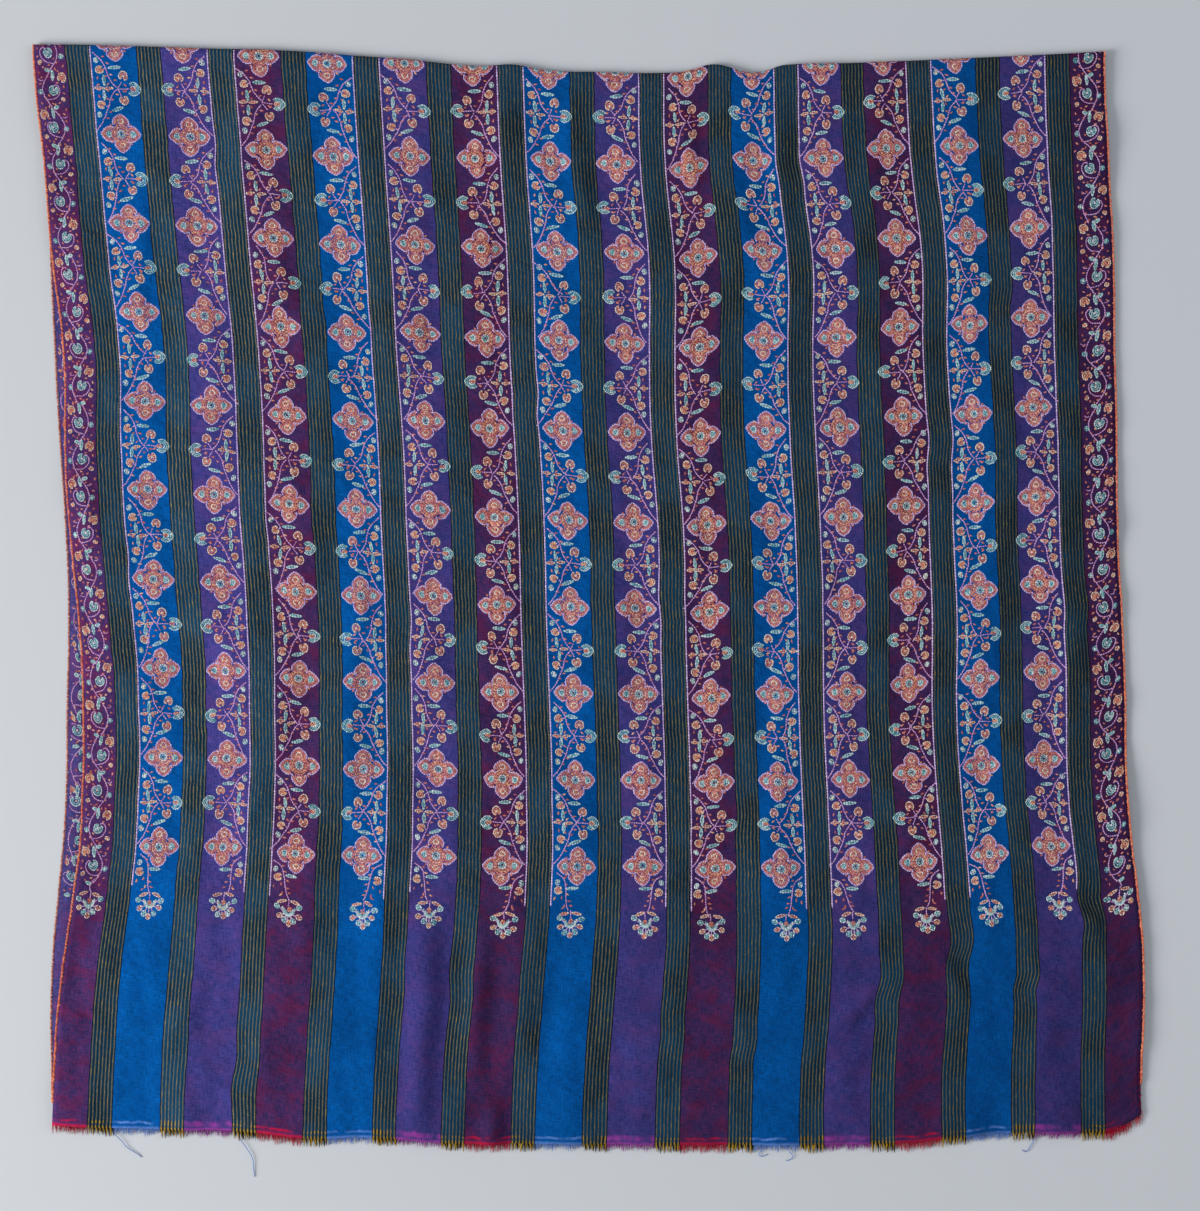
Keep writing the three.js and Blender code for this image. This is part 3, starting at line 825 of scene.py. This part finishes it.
def needlework(rng, change=lambda chart: chart):
    """All the stitches on one layer, as rows and their colours."""
    parts = []
    last, row = change(last_chart()), change(row_chart())
    border, border_end = change(border_chart()), change(border_bouquet_chart())
    for number in range(1, STRIPES + 1):
        left = band_start(number) + BAND_WIDTH
        across, side = (left + LINE_INSET, 1) if number % 2 else (left + STRIPE_WIDTH - LINE_INSET, -1)
        alongs = row_alongs(number)
        stretches = np.diff(alongs) / ROW_PITCH
        parts.append(spread(last, [(across, side, alongs[0], 1.0)], rng))
        rows = [(across, side, along, stretch) for along, stretch in zip(alongs[1:], stretches)]
        parts.append(spread(row, rows, rng))
        line = Chart()
        start = alongs[0] - LINE_DROP + rng.normal(0, 1.5)
        line.line([(0, start), (0, LINE_END)], 1.5, "lilac", 2.8, 1.2)
        parts.append(spread(change(line.arrays()), [(across, side, 0, 1.0)], rng, 0.0))
    for place in BORDER_BOUQUETS:
        across, side, along, _ = place
        parts.append(spread(border, winding(across, side, along + STEM_START), rng))
        parts.append(spread(border_end, [place], rng))
    return np.concatenate([p[0] for p in parts]), np.concatenate([p[1] for p in parts])


# Materials

def colour(code):
    """A linear colour from a six-digit sRGB code."""
    parts = [int(code[k:k + 2], 16) / 255 for k in (0, 2, 4)]
    return (*[c / 12.92 if c <= 0.04045 else ((c + 0.055) / 1.055) ** 2.4 for c in parts], 1.0)


def joined(operation, turned=False):
    """A method that joins a value and what stands beside it by one math node."""

    def method(value, other):
        pair = (other, value) if turned else (value, other)
        return value.nodes.math(operation, *pair)

    return method


class Value:
    """What a node gives, in sums and products like a number."""

    def __init__(self, nodes, socket):
        self.nodes, self.socket = nodes, socket

    def __abs__(self):
        return self.nodes.math("ABSOLUTE", self)

    __add__ = __radd__ = joined("ADD")
    __mul__ = __rmul__ = joined("MULTIPLY")
    __sub__ = joined("SUBTRACT")
    __rsub__ = joined("SUBTRACT", turned=True)
    __truediv__ = joined("DIVIDE")


class Nodes:
    """Short ways to make and join a material's nodes."""

    def __init__(self, name):
        self.material = bpy.data.materials.new(name)
        self.material.use_nodes = True
        self.tree = self.material.node_tree
        self.shader = self.tree.nodes["Principled BSDF"]

    def feed(self, socket, value):
        """Joins a value to a socket, or sets the socket to a number or to a colour's code."""
        if isinstance(value, Value):
            self.tree.links.new(value.socket, socket)
        else:
            socket.default_value = colour(value) if isinstance(value, str) else value

    def new(self, kind, inputs=(), output=0, **settings):
        """What a new node gives, with its settings and its inputs by name or number."""
        node = self.tree.nodes.new(kind)
        for key, value in settings.items():
            setattr(node, key, value)
        for key, value in dict(inputs).items():
            self.feed(node.inputs[key], value)
        return Value(self, node.outputs[output])

    def math(self, operation, *values, clamp=False):
        return self.new("ShaderNodeMath", enumerate(values), operation=operation, use_clamp=clamp)

    def mix(self, share, first, second, blend="MIX"):
        inputs = {0: share, 6: first, 7: second}
        return self.new("ShaderNodeMix", inputs, 2, data_type="RGBA", blend_type=blend)

    def soft(self, value, low, high):
        """0 below low and 1 above high, or the other way round, with a soft step between."""
        ends = (0.0, 1.0) if low < high else (1.0, 0.0)
        inputs = enumerate((value, min(low, high), max(low, high), *ends))
        return self.new("ShaderNodeMapRange", inputs, interpolation_type="SMOOTHSTEP")

    def place(self, map_name):
        """The two coordinates of a UV map."""
        source = self.new("ShaderNodeUVMap", uv_map=map_name)
        first = self.new("ShaderNodeSeparateXYZ", {0: source})
        return first, Value(self, first.socket.node.outputs[1])

    def vector(self, *parts):
        return self.new("ShaderNodeCombineXYZ", enumerate(parts))

    def noise(self, x, y, per_x, per_y, detail=2.0, z=0.0):
        """Noise from 0 to 1 with grains of per_x by per_y in the units of x and y."""
        at = self.vector(x / per_x, y / per_y, z)
        return self.new("ShaderNodeTexNoise", {"Vector": at, "Scale": 1.0, "Detail": detail})

    def bump(self, height, distance, strength, **under):
        inputs = {"Strength": strength, "Distance": distance, "Height": height, **under}
        return self.new("ShaderNodeBump", inputs)

    def shaded(self, tone, shade):
        return self.mix(1.0, tone, self.vector(shade, shade, shade), "MULTIPLY")

    def done(self, tone, rough, gloss, **others):
        """The material, with its shader fed."""
        inputs = {"Base Color": tone, "Roughness": rough, "Specular IOR Level": gloss, **others}
        for key, value in inputs.items():
            self.feed(self.shader.inputs[key.replace("_", " ")], value)
        return self.material


BAND_BLUR = 0.2
PIN_LINES = 7
PIN_PITCH = BAND_WIDTH / PIN_LINES
BLACK_YARN = "05080C"
BAND_RIM = "05070A"


def stripe_masks(n, across):
    """How far across its repeat a point is, and whether it lies in a dark, violet or maroon stripe."""
    offset = (across - BORDER_WIDTH) / REPEAT
    number = n.math("FLOOR", offset)
    inside = (offset - number) * REPEAT
    kind = n.math("FLOORED_MODULO", number + 0.5, 3.0)
    on = n.soft(inside, -BAND_BLUR, BAND_BLUR)
    off = n.soft(inside, BAND_WIDTH + BAND_BLUR, BAND_WIDTH - BAND_BLUR)
    back = n.soft(inside, REPEAT - BAND_BLUR, REPEAT + BAND_BLUR)
    band = n.math("ADD", on * off, back, clamp=True)
    return inside, band, n.math("COMPARE", kind, 1.5, 0.6), n.math("COMPARE", kind, 2.5, 0.6)


def from_pin_line(n, inside):
    """How far a point of a dark band is from the nearest thin line, as a share of their pitch."""
    return abs(n.math("FRACT", inside / PIN_PITCH) - 0.5)


def pinstripes(n, inside, weft, warp, cloud, teal, ochre):
    """The dark band: thin ochre lines flecked by the weft, on teal and black."""
    away = from_pin_line(n, inside)
    line = n.soft(away, 0.23, 0.13)
    shown = n.soft(weft * 0.7 + warp * 0.3, 0.36, 0.62) * 0.55 + 0.35
    ground = n.mix(n.soft(cloud * 0.7 + weft * 0.3, 0.40, 0.60), *teal)
    black = n.soft(away, 0.20, 0.26) * n.soft(away, 0.36, 0.30)
    ground = n.mix(black * 0.75, ground, BLACK_YARN)
    tone = n.mix(line * shown, ground, n.mix(n.soft(warp, 0.54, 0.74), *ochre))
    rims = n.math("MAXIMUM", n.soft(inside, 0.9, 0.5), n.soft(inside, BAND_WIDTH - 0.9, BAND_WIDTH - 0.5))
    return n.mix(rims * 0.85, tone, BAND_RIM), line


# Where the bare warp's line lies, how far it wanders and its half width, more in the violet
BARE_LINE = 8.4
BARE_WANDER = 6.5
BARE_HALF = 1.7
BARE_VIOLET_MORE = 2.2


def bare_warp(n, across, along, weft, thread, is_violet, is_maroon):
    """How bare the warp shows, by the raw end and in a line a little above it."""
    line_at = n.noise(across, along, 14.0, 400.0, 3.0) * BARE_WANDER + BARE_LINE
    line = n.soft(abs(along - line_at) / (is_violet * BARE_VIOLET_MORE + BARE_HALF), 1.0, 0.2)
    line = line * n.soft(n.noise(across, along, 18.0, 300.0, 2.0, 7.0), 0.38, 0.62)
    from_end = along + weft * 2.5 - is_maroon * 0.8
    bare = n.math("MAXIMUM", line, n.soft(from_end, 10.2, 8.0) * 0.85)
    return bare * n.soft(across, CLOTH_WIDTH - 14, CLOTH_WIDTH - 30) * (thread * 0.4 + 0.55)


def warp_tone(n, band, is_violet, is_maroon, line):
    """The bare warp's colour: periwinkle, magenta, crimson, or ochre and black in the bands."""
    plain = n.mix(is_maroon, n.mix(is_violet, "5F88D2", "9C3A9A"), "B80E30")
    return n.mix(band, plain, n.mix(line, "14140E", "B8921C"))


# Painted light falling off across the cloth: its brightness at the left selvedge, what it loses over
# its width, and what the left reddish stripes have more; then the least and range of a random mottle
LEFT_PAINTED_LIGHT = 1.22
PAINTED_LIGHT_LOSS = 0.42
REDDISH_PAINTED_LIGHT = 0.26
MOTTLE_LEAST = 0.70
MOTTLE_RANGE = 0.60


def cloth_material(name, blue, violet, maroon, teal, ochre):
    """Striped cloth. Each stripe has two thread colours and one that comes and goes in clouds."""
    n = Nodes(name)
    u, v = n.place("Cloth")
    across, along = u / MM, v / MM
    # The bands waver, most away from the raw end
    slow = (n.noise(across, along, 40.0, 55.0, 1.0) - 0.5) * 1.6
    crepe = n.noise(across, along, 17.0, 11.0, 3.0, 3.0) - 0.5
    drawn_up = n.soft(along, 170.0, 260.0) * 1.3 + 0.9
    inside, band, is_violet, is_maroon = stripe_masks(n, across + (slow + crepe * drawn_up))
    weft = n.noise(across, along, 7.0, 0.75, 2.0, 1.0)
    warp = n.noise(across, along, 0.75, 9.0, 2.0, 2.0)
    cloud = n.noise(across, along, 22.0, 17.0, 3.0, 4.0)
    broad = n.noise(across, along, 75.0, 60.0, 2.0, 9.0)
    heather = weft * 0.5 + warp * 0.5
    thread = n.soft(heather, 0.40, 0.60)
    cloudy = n.soft(cloud * 0.5 + heather * 0.5, 0.45, 0.60) * 0.6
    tones = [
        n.mix(cloudy, n.mix(thread, second, main), third) for main, second, third in (blue, violet, maroon)
    ]
    ground = n.mix(is_maroon, n.mix(is_violet, tones[0], tones[1]), tones[2])
    bands, line = pinstripes(n, inside, weft, warp, broad, teal, ochre)
    bare = bare_warp(n, across, along, weft, thread, is_violet, is_maroon)
    woven = n.mix(bare, n.mix(band, ground, bands), warp_tone(n, band, is_violet, is_maroon, line))
    # Painted light: brightest at the left selvedge, falling off over the width, more on the left reddish
    # stripes
    painted_left_light = n.soft(across, 330.0, 40.0) * n.math("MAXIMUM", is_violet, is_maroon)
    shade = LEFT_PAINTED_LIGHT - u * PAINTED_LIGHT_LOSS + painted_left_light * REDDISH_PAINTED_LIGHT
    shade = shade * (broad * MOTTLE_RANGE + MOTTLE_LEAST)
    fine = n.bump(heather, 0.0005, 0.6)
    ripple = n.bump(n.noise(across, along, 12.0, 6.0, 3.0, 6.0), 0.0030, 0.7, Normal=fine)
    sheen = {"Sheen_Weight": 0.03, "Sheen_Roughness": 0.5}
    return n.done(n.shaded(woven, shade), 0.92, 0.03, Normal=ripple, **sheen)


def fringe_material():
    n = Nodes("fringe_yarn")
    u, v = n.place("Cloth")
    across, along = u / MM, v / MM
    inside, band, is_violet, is_maroon = stripe_masks(n, across)
    line = n.soft(from_pin_line(n, inside), 0.33, 0.29)
    fleck = n.noise(across, along, 0.8, 2.0)
    tone = n.shaded(warp_tone(n, band, is_violet, is_maroon, line), fleck * 0.7 + 0.6)
    return n.done(tone, 0.9, 0.1, Normal=n.bump(fleck, 0.0002, 0.4))


def floss_material(name, dark, light):
    """Stitching thread: a shade for each stitch, with painted shade at its ends where it dips into the
    cloth.
    """
    n = Nodes(name)
    place, shade = n.place("Stitch")
    # Painted shade: darker towards the stitch's ends, where it dips into the cloth
    painted_dip_shade = n.soft(abs(place - 0.5), 0.30, 0.50) * 0.35
    tone = n.mix(painted_dip_shade, n.mix(shade, dark, light), dark)
    ply = n.math("SINE", place * 38.0)
    return n.done(tone, 0.7, 0.15, Normal=n.bump(ply, 0.0001, 0.5))


FLOSS = {
    "lilac": ("AE92CA", "D8C2E6"),
    "vine": ("B680BA", "DCAED6"),
    "rose": ("A25A64", "CE8A8E"),
    "coral": ("AA584C", "D88678"),
    "salmon": ("C47C60", "EAB090"),
    "cream": ("C8A690", "EEDAC6"),
    "aqua": ("4E8E98", "90C4C8"),
    "mint": ("90B2B4", "D0E4E4"),
    "pearl": ("A2ACB2", "DADEE2"),
    "rust": ("5E2420", "A04C36"),
}
EDGING = ("C85A42", "F4946E")
OUTER_EDGING = ("AE5648", "D88C78")
FACE = dict(
    blue=("0057A4", "00427E", "00478D"), violet=("413B7D", "2A2E69", "4E3470"),
    maroon=("492A59", "29224D", "5A173A"), teal=("0B3F5E", "052538"), ochre=("625E4E", "968040"),
)
REVERSE = {**FACE, "maroon": ("3A3668", "26254E", "4E2450")}


# Yarn and edging: the length a strand's flecks are laid out along, its taper to the tip, how deep
# its root lies, and how far down its middle hangs
YARN_RUN = 9
STRAND_TAPER = np.array([1.0, 0.85, 0.25])
STRAND_SINK = (0, 0, -0.2)
STRAND_SAG = 0.55


def yarn(paths, thickness, roots):
    """Three-sided strands along paths of points, with the place across of the warp each one is."""
    count, points = paths.shape[:2]
    run = unit(np.gradient(paths, axis=1))
    aside = unit(np.cross(run, (0.0, 0.0, 1.0)) + (1e-6, 0, 0))
    over = np.cross(aside, run)
    turns = np.radians([90, 210, 330])[None, None, :, None]
    ring = aside[:, :, None] * np.cos(turns) + over[:, :, None] * np.sin(turns)
    vertices = paths[:, :, None] + ring * thickness[:, :, None, None] / 2
    low = np.arange(points - 1)[:, None] * 3 + (0, 1, 2)
    following = np.arange(points - 1)[:, None] * 3 + (1, 2, 0)
    faces = np.concatenate([
        np.stack([low, following, following + 3], -1).reshape(-1, 3),
        np.stack([low, following + 3, low + 3], -1).reshape(-1, 3),
        [(2, 1, 0), (3 * points - 3, 3 * points - 2, 3 * points - 1)],
    ])
    faces = (faces[None] + 3 * points * np.arange(count)[:, None, None]).reshape(-1, 3)
    share = np.linspace(0, 1, points)[None, :, None]
    cloth = pairs(roots[:, None, None] + np.zeros(3), share * YARN_RUN) * MM
    cell = pairs((np.arange(count)[:, None, None] + np.array([0.2, 0.5, 0.8])) / count, share)
    return vertices.reshape(-1, 3), faces, cloth, cell


def yarn_object(name, bundles, material):
    """One object from several bundles of strands."""
    vertices, faces, cloth, cells = zip(*bundles)
    starts = np.cumsum([0, *map(len, vertices)])
    faces = np.concatenate([part + start for part, start in zip(faces, starts)])
    cells = np.concatenate([(part + (0, k)) / (1, len(bundles)) for k, part in enumerate(cells)])
    maps = {"Cloth": np.concatenate(cloth)[faces.ravel()], "OFBake": cells[faces.ravel()]}
    return new_object(name, np.concatenate(vertices), faces, maps, material)


def strands(surface_at, across, root, tip, lean, radius, floor_height, rng):
    """Paths and thicknesses of strands from root to tip, both along the cloth."""
    start = surface_at(across, root) + STRAND_SINK
    end = surface_at(across + lean, tip)
    end[:, 2] = floor_height + rng.uniform(0, 0.5, len(across))
    middle = (start + end) / 2
    middle[:, 2] = start[:, 2] * (1 - STRAND_SAG) + end[:, 2] * STRAND_SAG
    middle[:, 0] += rng.normal(0, 0.25, len(across)) + lean * 0.1
    return np.stack([start, middle, end], 1), radius[:, None] * 2 * STRAND_TAPER


FRINGE_INSET = 2.0
WORN_CORNER = 16
CRIMSON_LONGER = 1.8


def in_band(across):
    offset = (across - BORDER_WIDTH) % REPEAT
    return (across > BORDER_WIDTH) & (across < CLOTH_WIDTH - BORDER_WIDTH) & (offset < BAND_WIDTH)


def fringe(surface_at, floor_height, fuzz_pitch, tuft_strands, seed):
    """Short fuzz below the coloured stripes and twisted tufts below each pinstripe."""
    rng = np.random.default_rng(seed)
    across = np.arange(FRINGE_INSET, CLOTH_WIDTH - FRINGE_INSET, fuzz_pitch)
    across = across + rng.normal(0, fuzz_pitch * 0.4, len(across))
    across = across[~in_band(across) & (across < CLOTH_WIDTH - WORN_CORNER)]
    count = len(across)
    clump = np.sin(across * 0.9) + np.sin(across * 0.37 + 1) + rng.normal(0, 0.6, count)
    crimson = np.floor((across - BORDER_WIDTH) / REPEAT) % 3 == 2
    tip = np.clip(0.4 - clump * 1.1, -3.2, 3.6) - np.where(crimson, CRIMSON_LONGER, 0)
    lean = rng.normal(0, 1.0, count)
    radius = rng.uniform(0.2, 0.36, count)
    root = RAW_END + rng.uniform(0.8, 2.6, count)
    fuzz = strands(surface_at, across, root, tip, lean, radius, floor_height, rng)
    starts = np.array([band_start(number) for number in range(1, STRIPES + 2)])
    widths = np.where(starts + BAND_WIDTH < CLOTH_WIDTH - BORDER_WIDTH, 1.0, LAST_BAND_WIDTH / BAND_WIDTH)
    pins = (starts[:, None] + (np.arange(PIN_LINES) + 0.5) * PIN_PITCH * widths[:, None]).ravel()
    blacks = pins + PIN_PITCH * 0.42 * np.repeat(widths, PIN_LINES)
    is_black = np.repeat([False, True], len(pins))
    pins = np.concatenate([pins, blacks])
    tufts = np.repeat(pins, tuft_strands) + rng.normal(0, 0.22, len(pins) * tuft_strands)
    band_lean = np.repeat(rng.normal(0.9, 0.9, len(pins)), tuft_strands) + rng.normal(0, 0.3, len(tufts))
    band_tip = np.repeat(rng.uniform(-3.0, 0.2, len(pins)), tuft_strands) + rng.normal(0, 0.5, len(tufts))
    band_root = RAW_END + rng.uniform(1.6, 3.6, len(tufts))
    thick = rng.uniform(0.44, 0.6, len(tufts)) * np.repeat(np.where(is_black, 0.85, 1.0), tuft_strands)
    twisted = strands(surface_at, tufts, band_root, band_tip, band_lean, thick, floor_height, rng)
    return [yarn(*fuzz, across), yarn(*twisted, np.repeat(pins, tuft_strands))]


# Loose weft ends by the raw ends, each a line of points (x, y)
LOOSE_THREADS = [
    [(-436.0, -492.0), (-428.0, -500.0), (-424.0, -505.0), (-416.0, -510.0), (-411.0, -514.0)],
    [(-321.0, -496.0), (-314.0, -506.0), (-309.0, -515.0), (-308.0, -524.0), (-307.0, -532.0)],
    [(157.0, -500.0), (159.0, -506.0), (156.0, -511.0), (160.0, -513.0), (164.0, -511.0)],
    [(184.0, -500.0), (183.0, -507.0), (187.0, -512.0), (185.0, -516.0), (181.0, -517.0)],
    [(409.0, -492.0), (408.0, -499.0), (405.5, -503.0), (402.5, -508.5), (398.0, -507.5)],
]
LOOSE_THICKNESS = 0.75
IN_BLUE_STRIPE = BORDER_WIDTH + BAND_WIDTH + 20


def loose_threads():
    lines = np.array([curve(points, 3) for points in LOOSE_THREADS])
    shape = lines.shape[:2]
    heights = np.broadcast_to(np.linspace(2.2, 0.5, shape[1]), shape)
    paths = placed(lines[..., 0], lines[..., 1], heights)
    return yarn(paths, np.full(shape, LOOSE_THICKNESS), np.full(len(lines), IN_BLUE_STRIPE))


END_FUZZ = 90
SIDE_FUZZ = 34


def corner_fuzz(seed):
    """The frayed corner where the right selvedge's edging has come away."""
    rng = np.random.default_rng(seed)
    across = CLOTH_WIDTH - rng.uniform(0, 34, END_FUZZ)
    tip = rng.uniform(-6, 4, END_FUZZ)
    lean = rng.normal(1.0, 3.2, END_FUZZ)
    root = RAW_END + rng.uniform(0.5, 4.0, END_FUZZ)
    radius = rng.uniform(0.18, 0.32, END_FUZZ)
    low = strands(upper_surface, across, root, tip, lean, radius, 1.2, rng)
    along = rng.uniform(8, 46, SIDE_FUZZ)
    start = upper_surface(np.full(SIDE_FUZZ, CLOTH_WIDTH - 2.5), along)
    out = rng.uniform(0.4, 2.6, SIDE_FUZZ)
    end = upper_surface(CLOTH_WIDTH + out, along + rng.normal(0, 1.6, SIDE_FUZZ))
    end[:, 2] -= rng.uniform(0.2, 1.2, SIDE_FUZZ)
    side = np.stack([start, (start + end) / 2, end], 1)
    thick = rng.uniform(0.35, 0.6, (SIDE_FUZZ, 1)) * np.array([1.0, 0.8, 0.3])
    return [yarn(*low, across), yarn(side, thick, np.full(SIDE_FUZZ, CLOTH_WIDTH - 10))]


EDGE_PITCH = 1.55
EDGE_OUT = 0.7
EDGE_WIDTHS = (1.7, 2.2)
EDGE_CREST = 0.75
EDGE_UNDERSIDE = -0.2


def edging(name, above, below, side, start, end, reach, tones, seed):
    """Overcast stitches along a selvedge: down over it above and back up to it below."""
    rng = np.random.default_rng(seed)
    along = np.arange(start, end, EDGE_PITCH)
    along = along + rng.normal(0, 0.2, len(along))
    edge = 0.0 if side < 0 else CLOTH_WIDTH
    reach = reach + rng.normal(0, 0.35, len(along))
    out = EDGE_OUT + rng.normal(0, 0.15, len(along))
    widths = rng.uniform(*EDGE_WIDTHS, len(along))
    rows = np.stack([edge - side * reach, along - 0.5, edge + side * out, along + 0.5, widths], -1)
    corners = [
        stitch_corners(above, rows, EDGE_CREST, rng), stitch_corners(below, rows, EDGE_UNDERSIDE, rng),
    ]
    shade = np.tile(rng.random(len(along)), 2)
    return stitch_object(name, np.concatenate(corners), shade, floss_material(name, *tones))


# Cloth

def steps(low, high, size):
    return np.linspace(low, high, max(2, round((high - low) / size) + 1))


CELL = 4.6
UNDER_CELL = 14.0
FOLD_CELL = 1.6
SIDE_INSET = 1.2
SIDE_CLEARANCE = 3
TURN_LENGTH = math.pi * FOLD_RADIUS
upper_across = steps(SIDE_INSET, CLOTH_WIDTH - SIDE_INSET, CELL)
round_fold = LAYER_LENGTH + steps(0, TURN_LENGTH, FOLD_CELL)[1:]
upper_along = np.concatenate([steps(RAW_END, LAYER_LENGTH, CELL), round_fold])
grid = np.meshgrid(upper_across, upper_along)
upper_points = upper_surface(*grid), upper_surface(*grid, depth=SHOWN_WALL)
upper_top, upper_inside = (Surface(upper_across, upper_along, points) for points in upper_points)
face_material = cloth_material("cloth_face", **FACE)
cloth_upper = shell("cloth_upper", upper_across, upper_along, *upper_points, face_material)

under_across = steps(SIDE_INSET, CLOTH_WIDTH - SIDE_INSET, UNDER_CELL)
under_along = steps(RAW_END, LAYER_LENGTH, UNDER_CELL)
grid = np.meshgrid(under_across, under_along)
under_points = under_top_at(*grid), under_surface(*grid)
under_top, under_bottom = (Surface(under_across, under_along, points) for points in under_points)
reverse_material = cloth_material("cloth_reverse", **REVERSE)
cloth_under = shell("cloth_under", under_across, under_along, *under_points, reverse_material)

floss = {tone: floss_material("floss_" + tone, *codes) for tone, codes in FLOSS.items()}


def embroider(prefix, surface, rows, tones, chosen, palette, seed, crest=STITCH_CREST):
    """An object of the chosen stitches for each tone of the palette."""
    return [
        stitches(prefix + tone, surface, rows[chosen & (tones == tone)], floss[tone], seed + number, crest)
        for number, tone in enumerate(palette)
    ]


def on_layer(rows, last_along):
    """Which stitches end before last_along and keep clear of the left selvedge."""
    return (rows[:, [1, 3]].max(1) < last_along) & (rows[:, [0, 2]].min(1) > SIDE_CLEARANCE)


# Needlework on the upper layer
rows, tones = needlework(np.random.default_rng(5))
chosen = on_layer(rows, LAYER_LENGTH + TURN_LENGTH)
needle_pieces = embroider("needlework_", upper_top, rows, tones, chosen, FLOSS, 20)

# The wrong side of the border's needlework, on the strip of the under layer that shows
REVERSE_MIDDLE = BORDER_WIDTH / 2 - 4.0
REVERSE_START = 232.0
REVERSE_END = JOIN_START + 120
REVERSE_SWAY = 2.5
REVERSE_TONES = ("vine", "cream", "salmon", "coral", "aqua", "mint")
places = winding(REVERSE_MIDDLE, 1, REVERSE_START)
rows, tones = spread(border_chart(), places, np.random.default_rng(6), REVERSE_SWAY)
chosen = on_layer(rows, REVERSE_END) & (rows[:, [0, 2]].max(1) < REVERSE_SHOWN)
reverse_pieces = embroider("reverse_needlework_", under_top, rows, tones, chosen, REVERSE_TONES, 40)

# The right side of the under layer, which lies on the floor
UNDER_END = LAYER_LENGTH - 4
rows, tones = needlework(np.random.default_rng(8), in_pairs)
chosen = on_layer(rows, UNDER_END)
down_pieces = embroider("under_needlework_", under_bottom, rows, tones, chosen, FLOSS, 80, PLAIN_CREST)

# Edging and fringe. The selvedges as (name, side, start, reach), and the under layer's (start, end, reach)
SIDES = (("left", -1, 27.0, 1.9), ("right", 1, 36.0, 1.4))
UNDER_EDGE = (30.0, LAYER_LENGTH - 2, 1.1)
upper_trim, under_trim = [], []
for name, side, start, reach in SIDES:
    upper_edge = (start, LAYER_LENGTH + TURN_LENGTH, reach)
    upper = edging("overcast_upper_" + name, upper_top, upper_inside, side, *upper_edge, EDGING, 50 + side)
    under = edging(
        "overcast_under_" + name, under_top, under_bottom, side, *UNDER_EDGE, OUTER_EDGING, 60 + side,
    )
    upper_trim.append(upper)
    under_trim.append(under)
yarn_material = fringe_material()
upper_bundles = fringe(upper_surface, floor_height=1.3, fuzz_pitch=0.45, tuft_strands=3, seed=71)
upper_bundles += [loose_threads(), *corner_fuzz(72)]
fringe_upper = yarn_object("fringe_upper", upper_bundles, yarn_material)
under_bundles = fringe(under_top_at, floor_height=0.3, fuzz_pitch=1.0, tuft_strands=2, seed=73)
fringe_under = yarn_object("fringe_under", under_bundles, yarn_material)

upper_pieces = [*needle_pieces, *upper_trim, fringe_upper]
under_pieces = [*reverse_pieces, *down_pieces, *under_trim, fringe_under]
for piece in (cloth_upper, cloth_under, *upper_pieces, *under_pieces):
    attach(piece, "root")
replaced = {
    "upper_layer": cloth_upper, "under_layer": cloth_under,
    "upper_fringe": fringe_upper, "under_fringe": fringe_under,
    "upper_edging_left": upper_trim[0], "upper_edging_right": upper_trim[1],
    "under_edging_left": under_trim[0], "under_edging_right": under_trim[1],
}
for node, piece in replaced.items():
    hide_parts(node)

# Floor, light and camera
floor_mesh = bpy.data.meshes.new("floor")
floor_mesh.from_pydata([(-4, -4, 0), (4, -4, 0), (4, 4, 0), (-4, 4, 0)], [], [(0, 1, 2, 3)])
floor = bpy.data.objects.new("floor", floor_mesh)
bpy.context.scene.collection.objects.link(floor)
floor_mesh.materials.append(Nodes("floor").done("CBCFD4", 0.9, 0.5))


def area_light(name, place, aim, size, power, tint):
    data = bpy.data.lights.new(name, "AREA")
    data.shape = "DISK"
    data.size = size
    data.energy = power
    data.color = tint
    light = bpy.data.objects.new(name, data)
    bpy.context.scene.collection.objects.link(light)
    light.location = place
    direction = mathutils.Vector(aim) - mathutils.Vector(place)
    light.rotation_mode = "QUATERNION"
    light.rotation_quaternion = direction.to_track_quat("-Z", "Y")


area_light("window", (-3.95, -1.1, 2.0), aim=(0.1, 0, 0), size=2.4, power=242, tint=(1.0, 0.985, 0.965))
area_light("fill", (2.5, 0.9, 1.8), aim=(0.3, 0, 0), size=2.6, power=21, tint=(0.94, 0.97, 1.0))
world = bpy.data.worlds.new("studio")
world.use_nodes = True
background = world.node_tree.nodes["Background"]
background.inputs["Color"].default_value = (0.90, 0.94, 1.0, 1.0)
background.inputs["Strength"].default_value = 0.33
bpy.context.scene.world = world
bpy.context.scene.view_settings.view_transform = "Standard"

# The photograph's frame, 1200 by 1211 pixels, seen from straight above
FRAME_HEIGHT = 1211 * PIXEL
VIEW_MIDDLE = placed(10.1, -7.2, 0.0) * MM
CLOTH_TOP = 4.0
LENS = 65.0
SENSOR = 36.0
camera_data = bpy.data.cameras.new("camera")
camera_data.lens = LENS
camera_data.sensor_width = SENSOR
camera = bpy.data.objects.new("camera", camera_data)
bpy.context.scene.collection.objects.link(camera)
camera.location = (*VIEW_MIDDLE[:2], (CLOTH_TOP + LENS / SENSOR * FRAME_HEIGHT) * MM)
bpy.context.scene.camera = camera
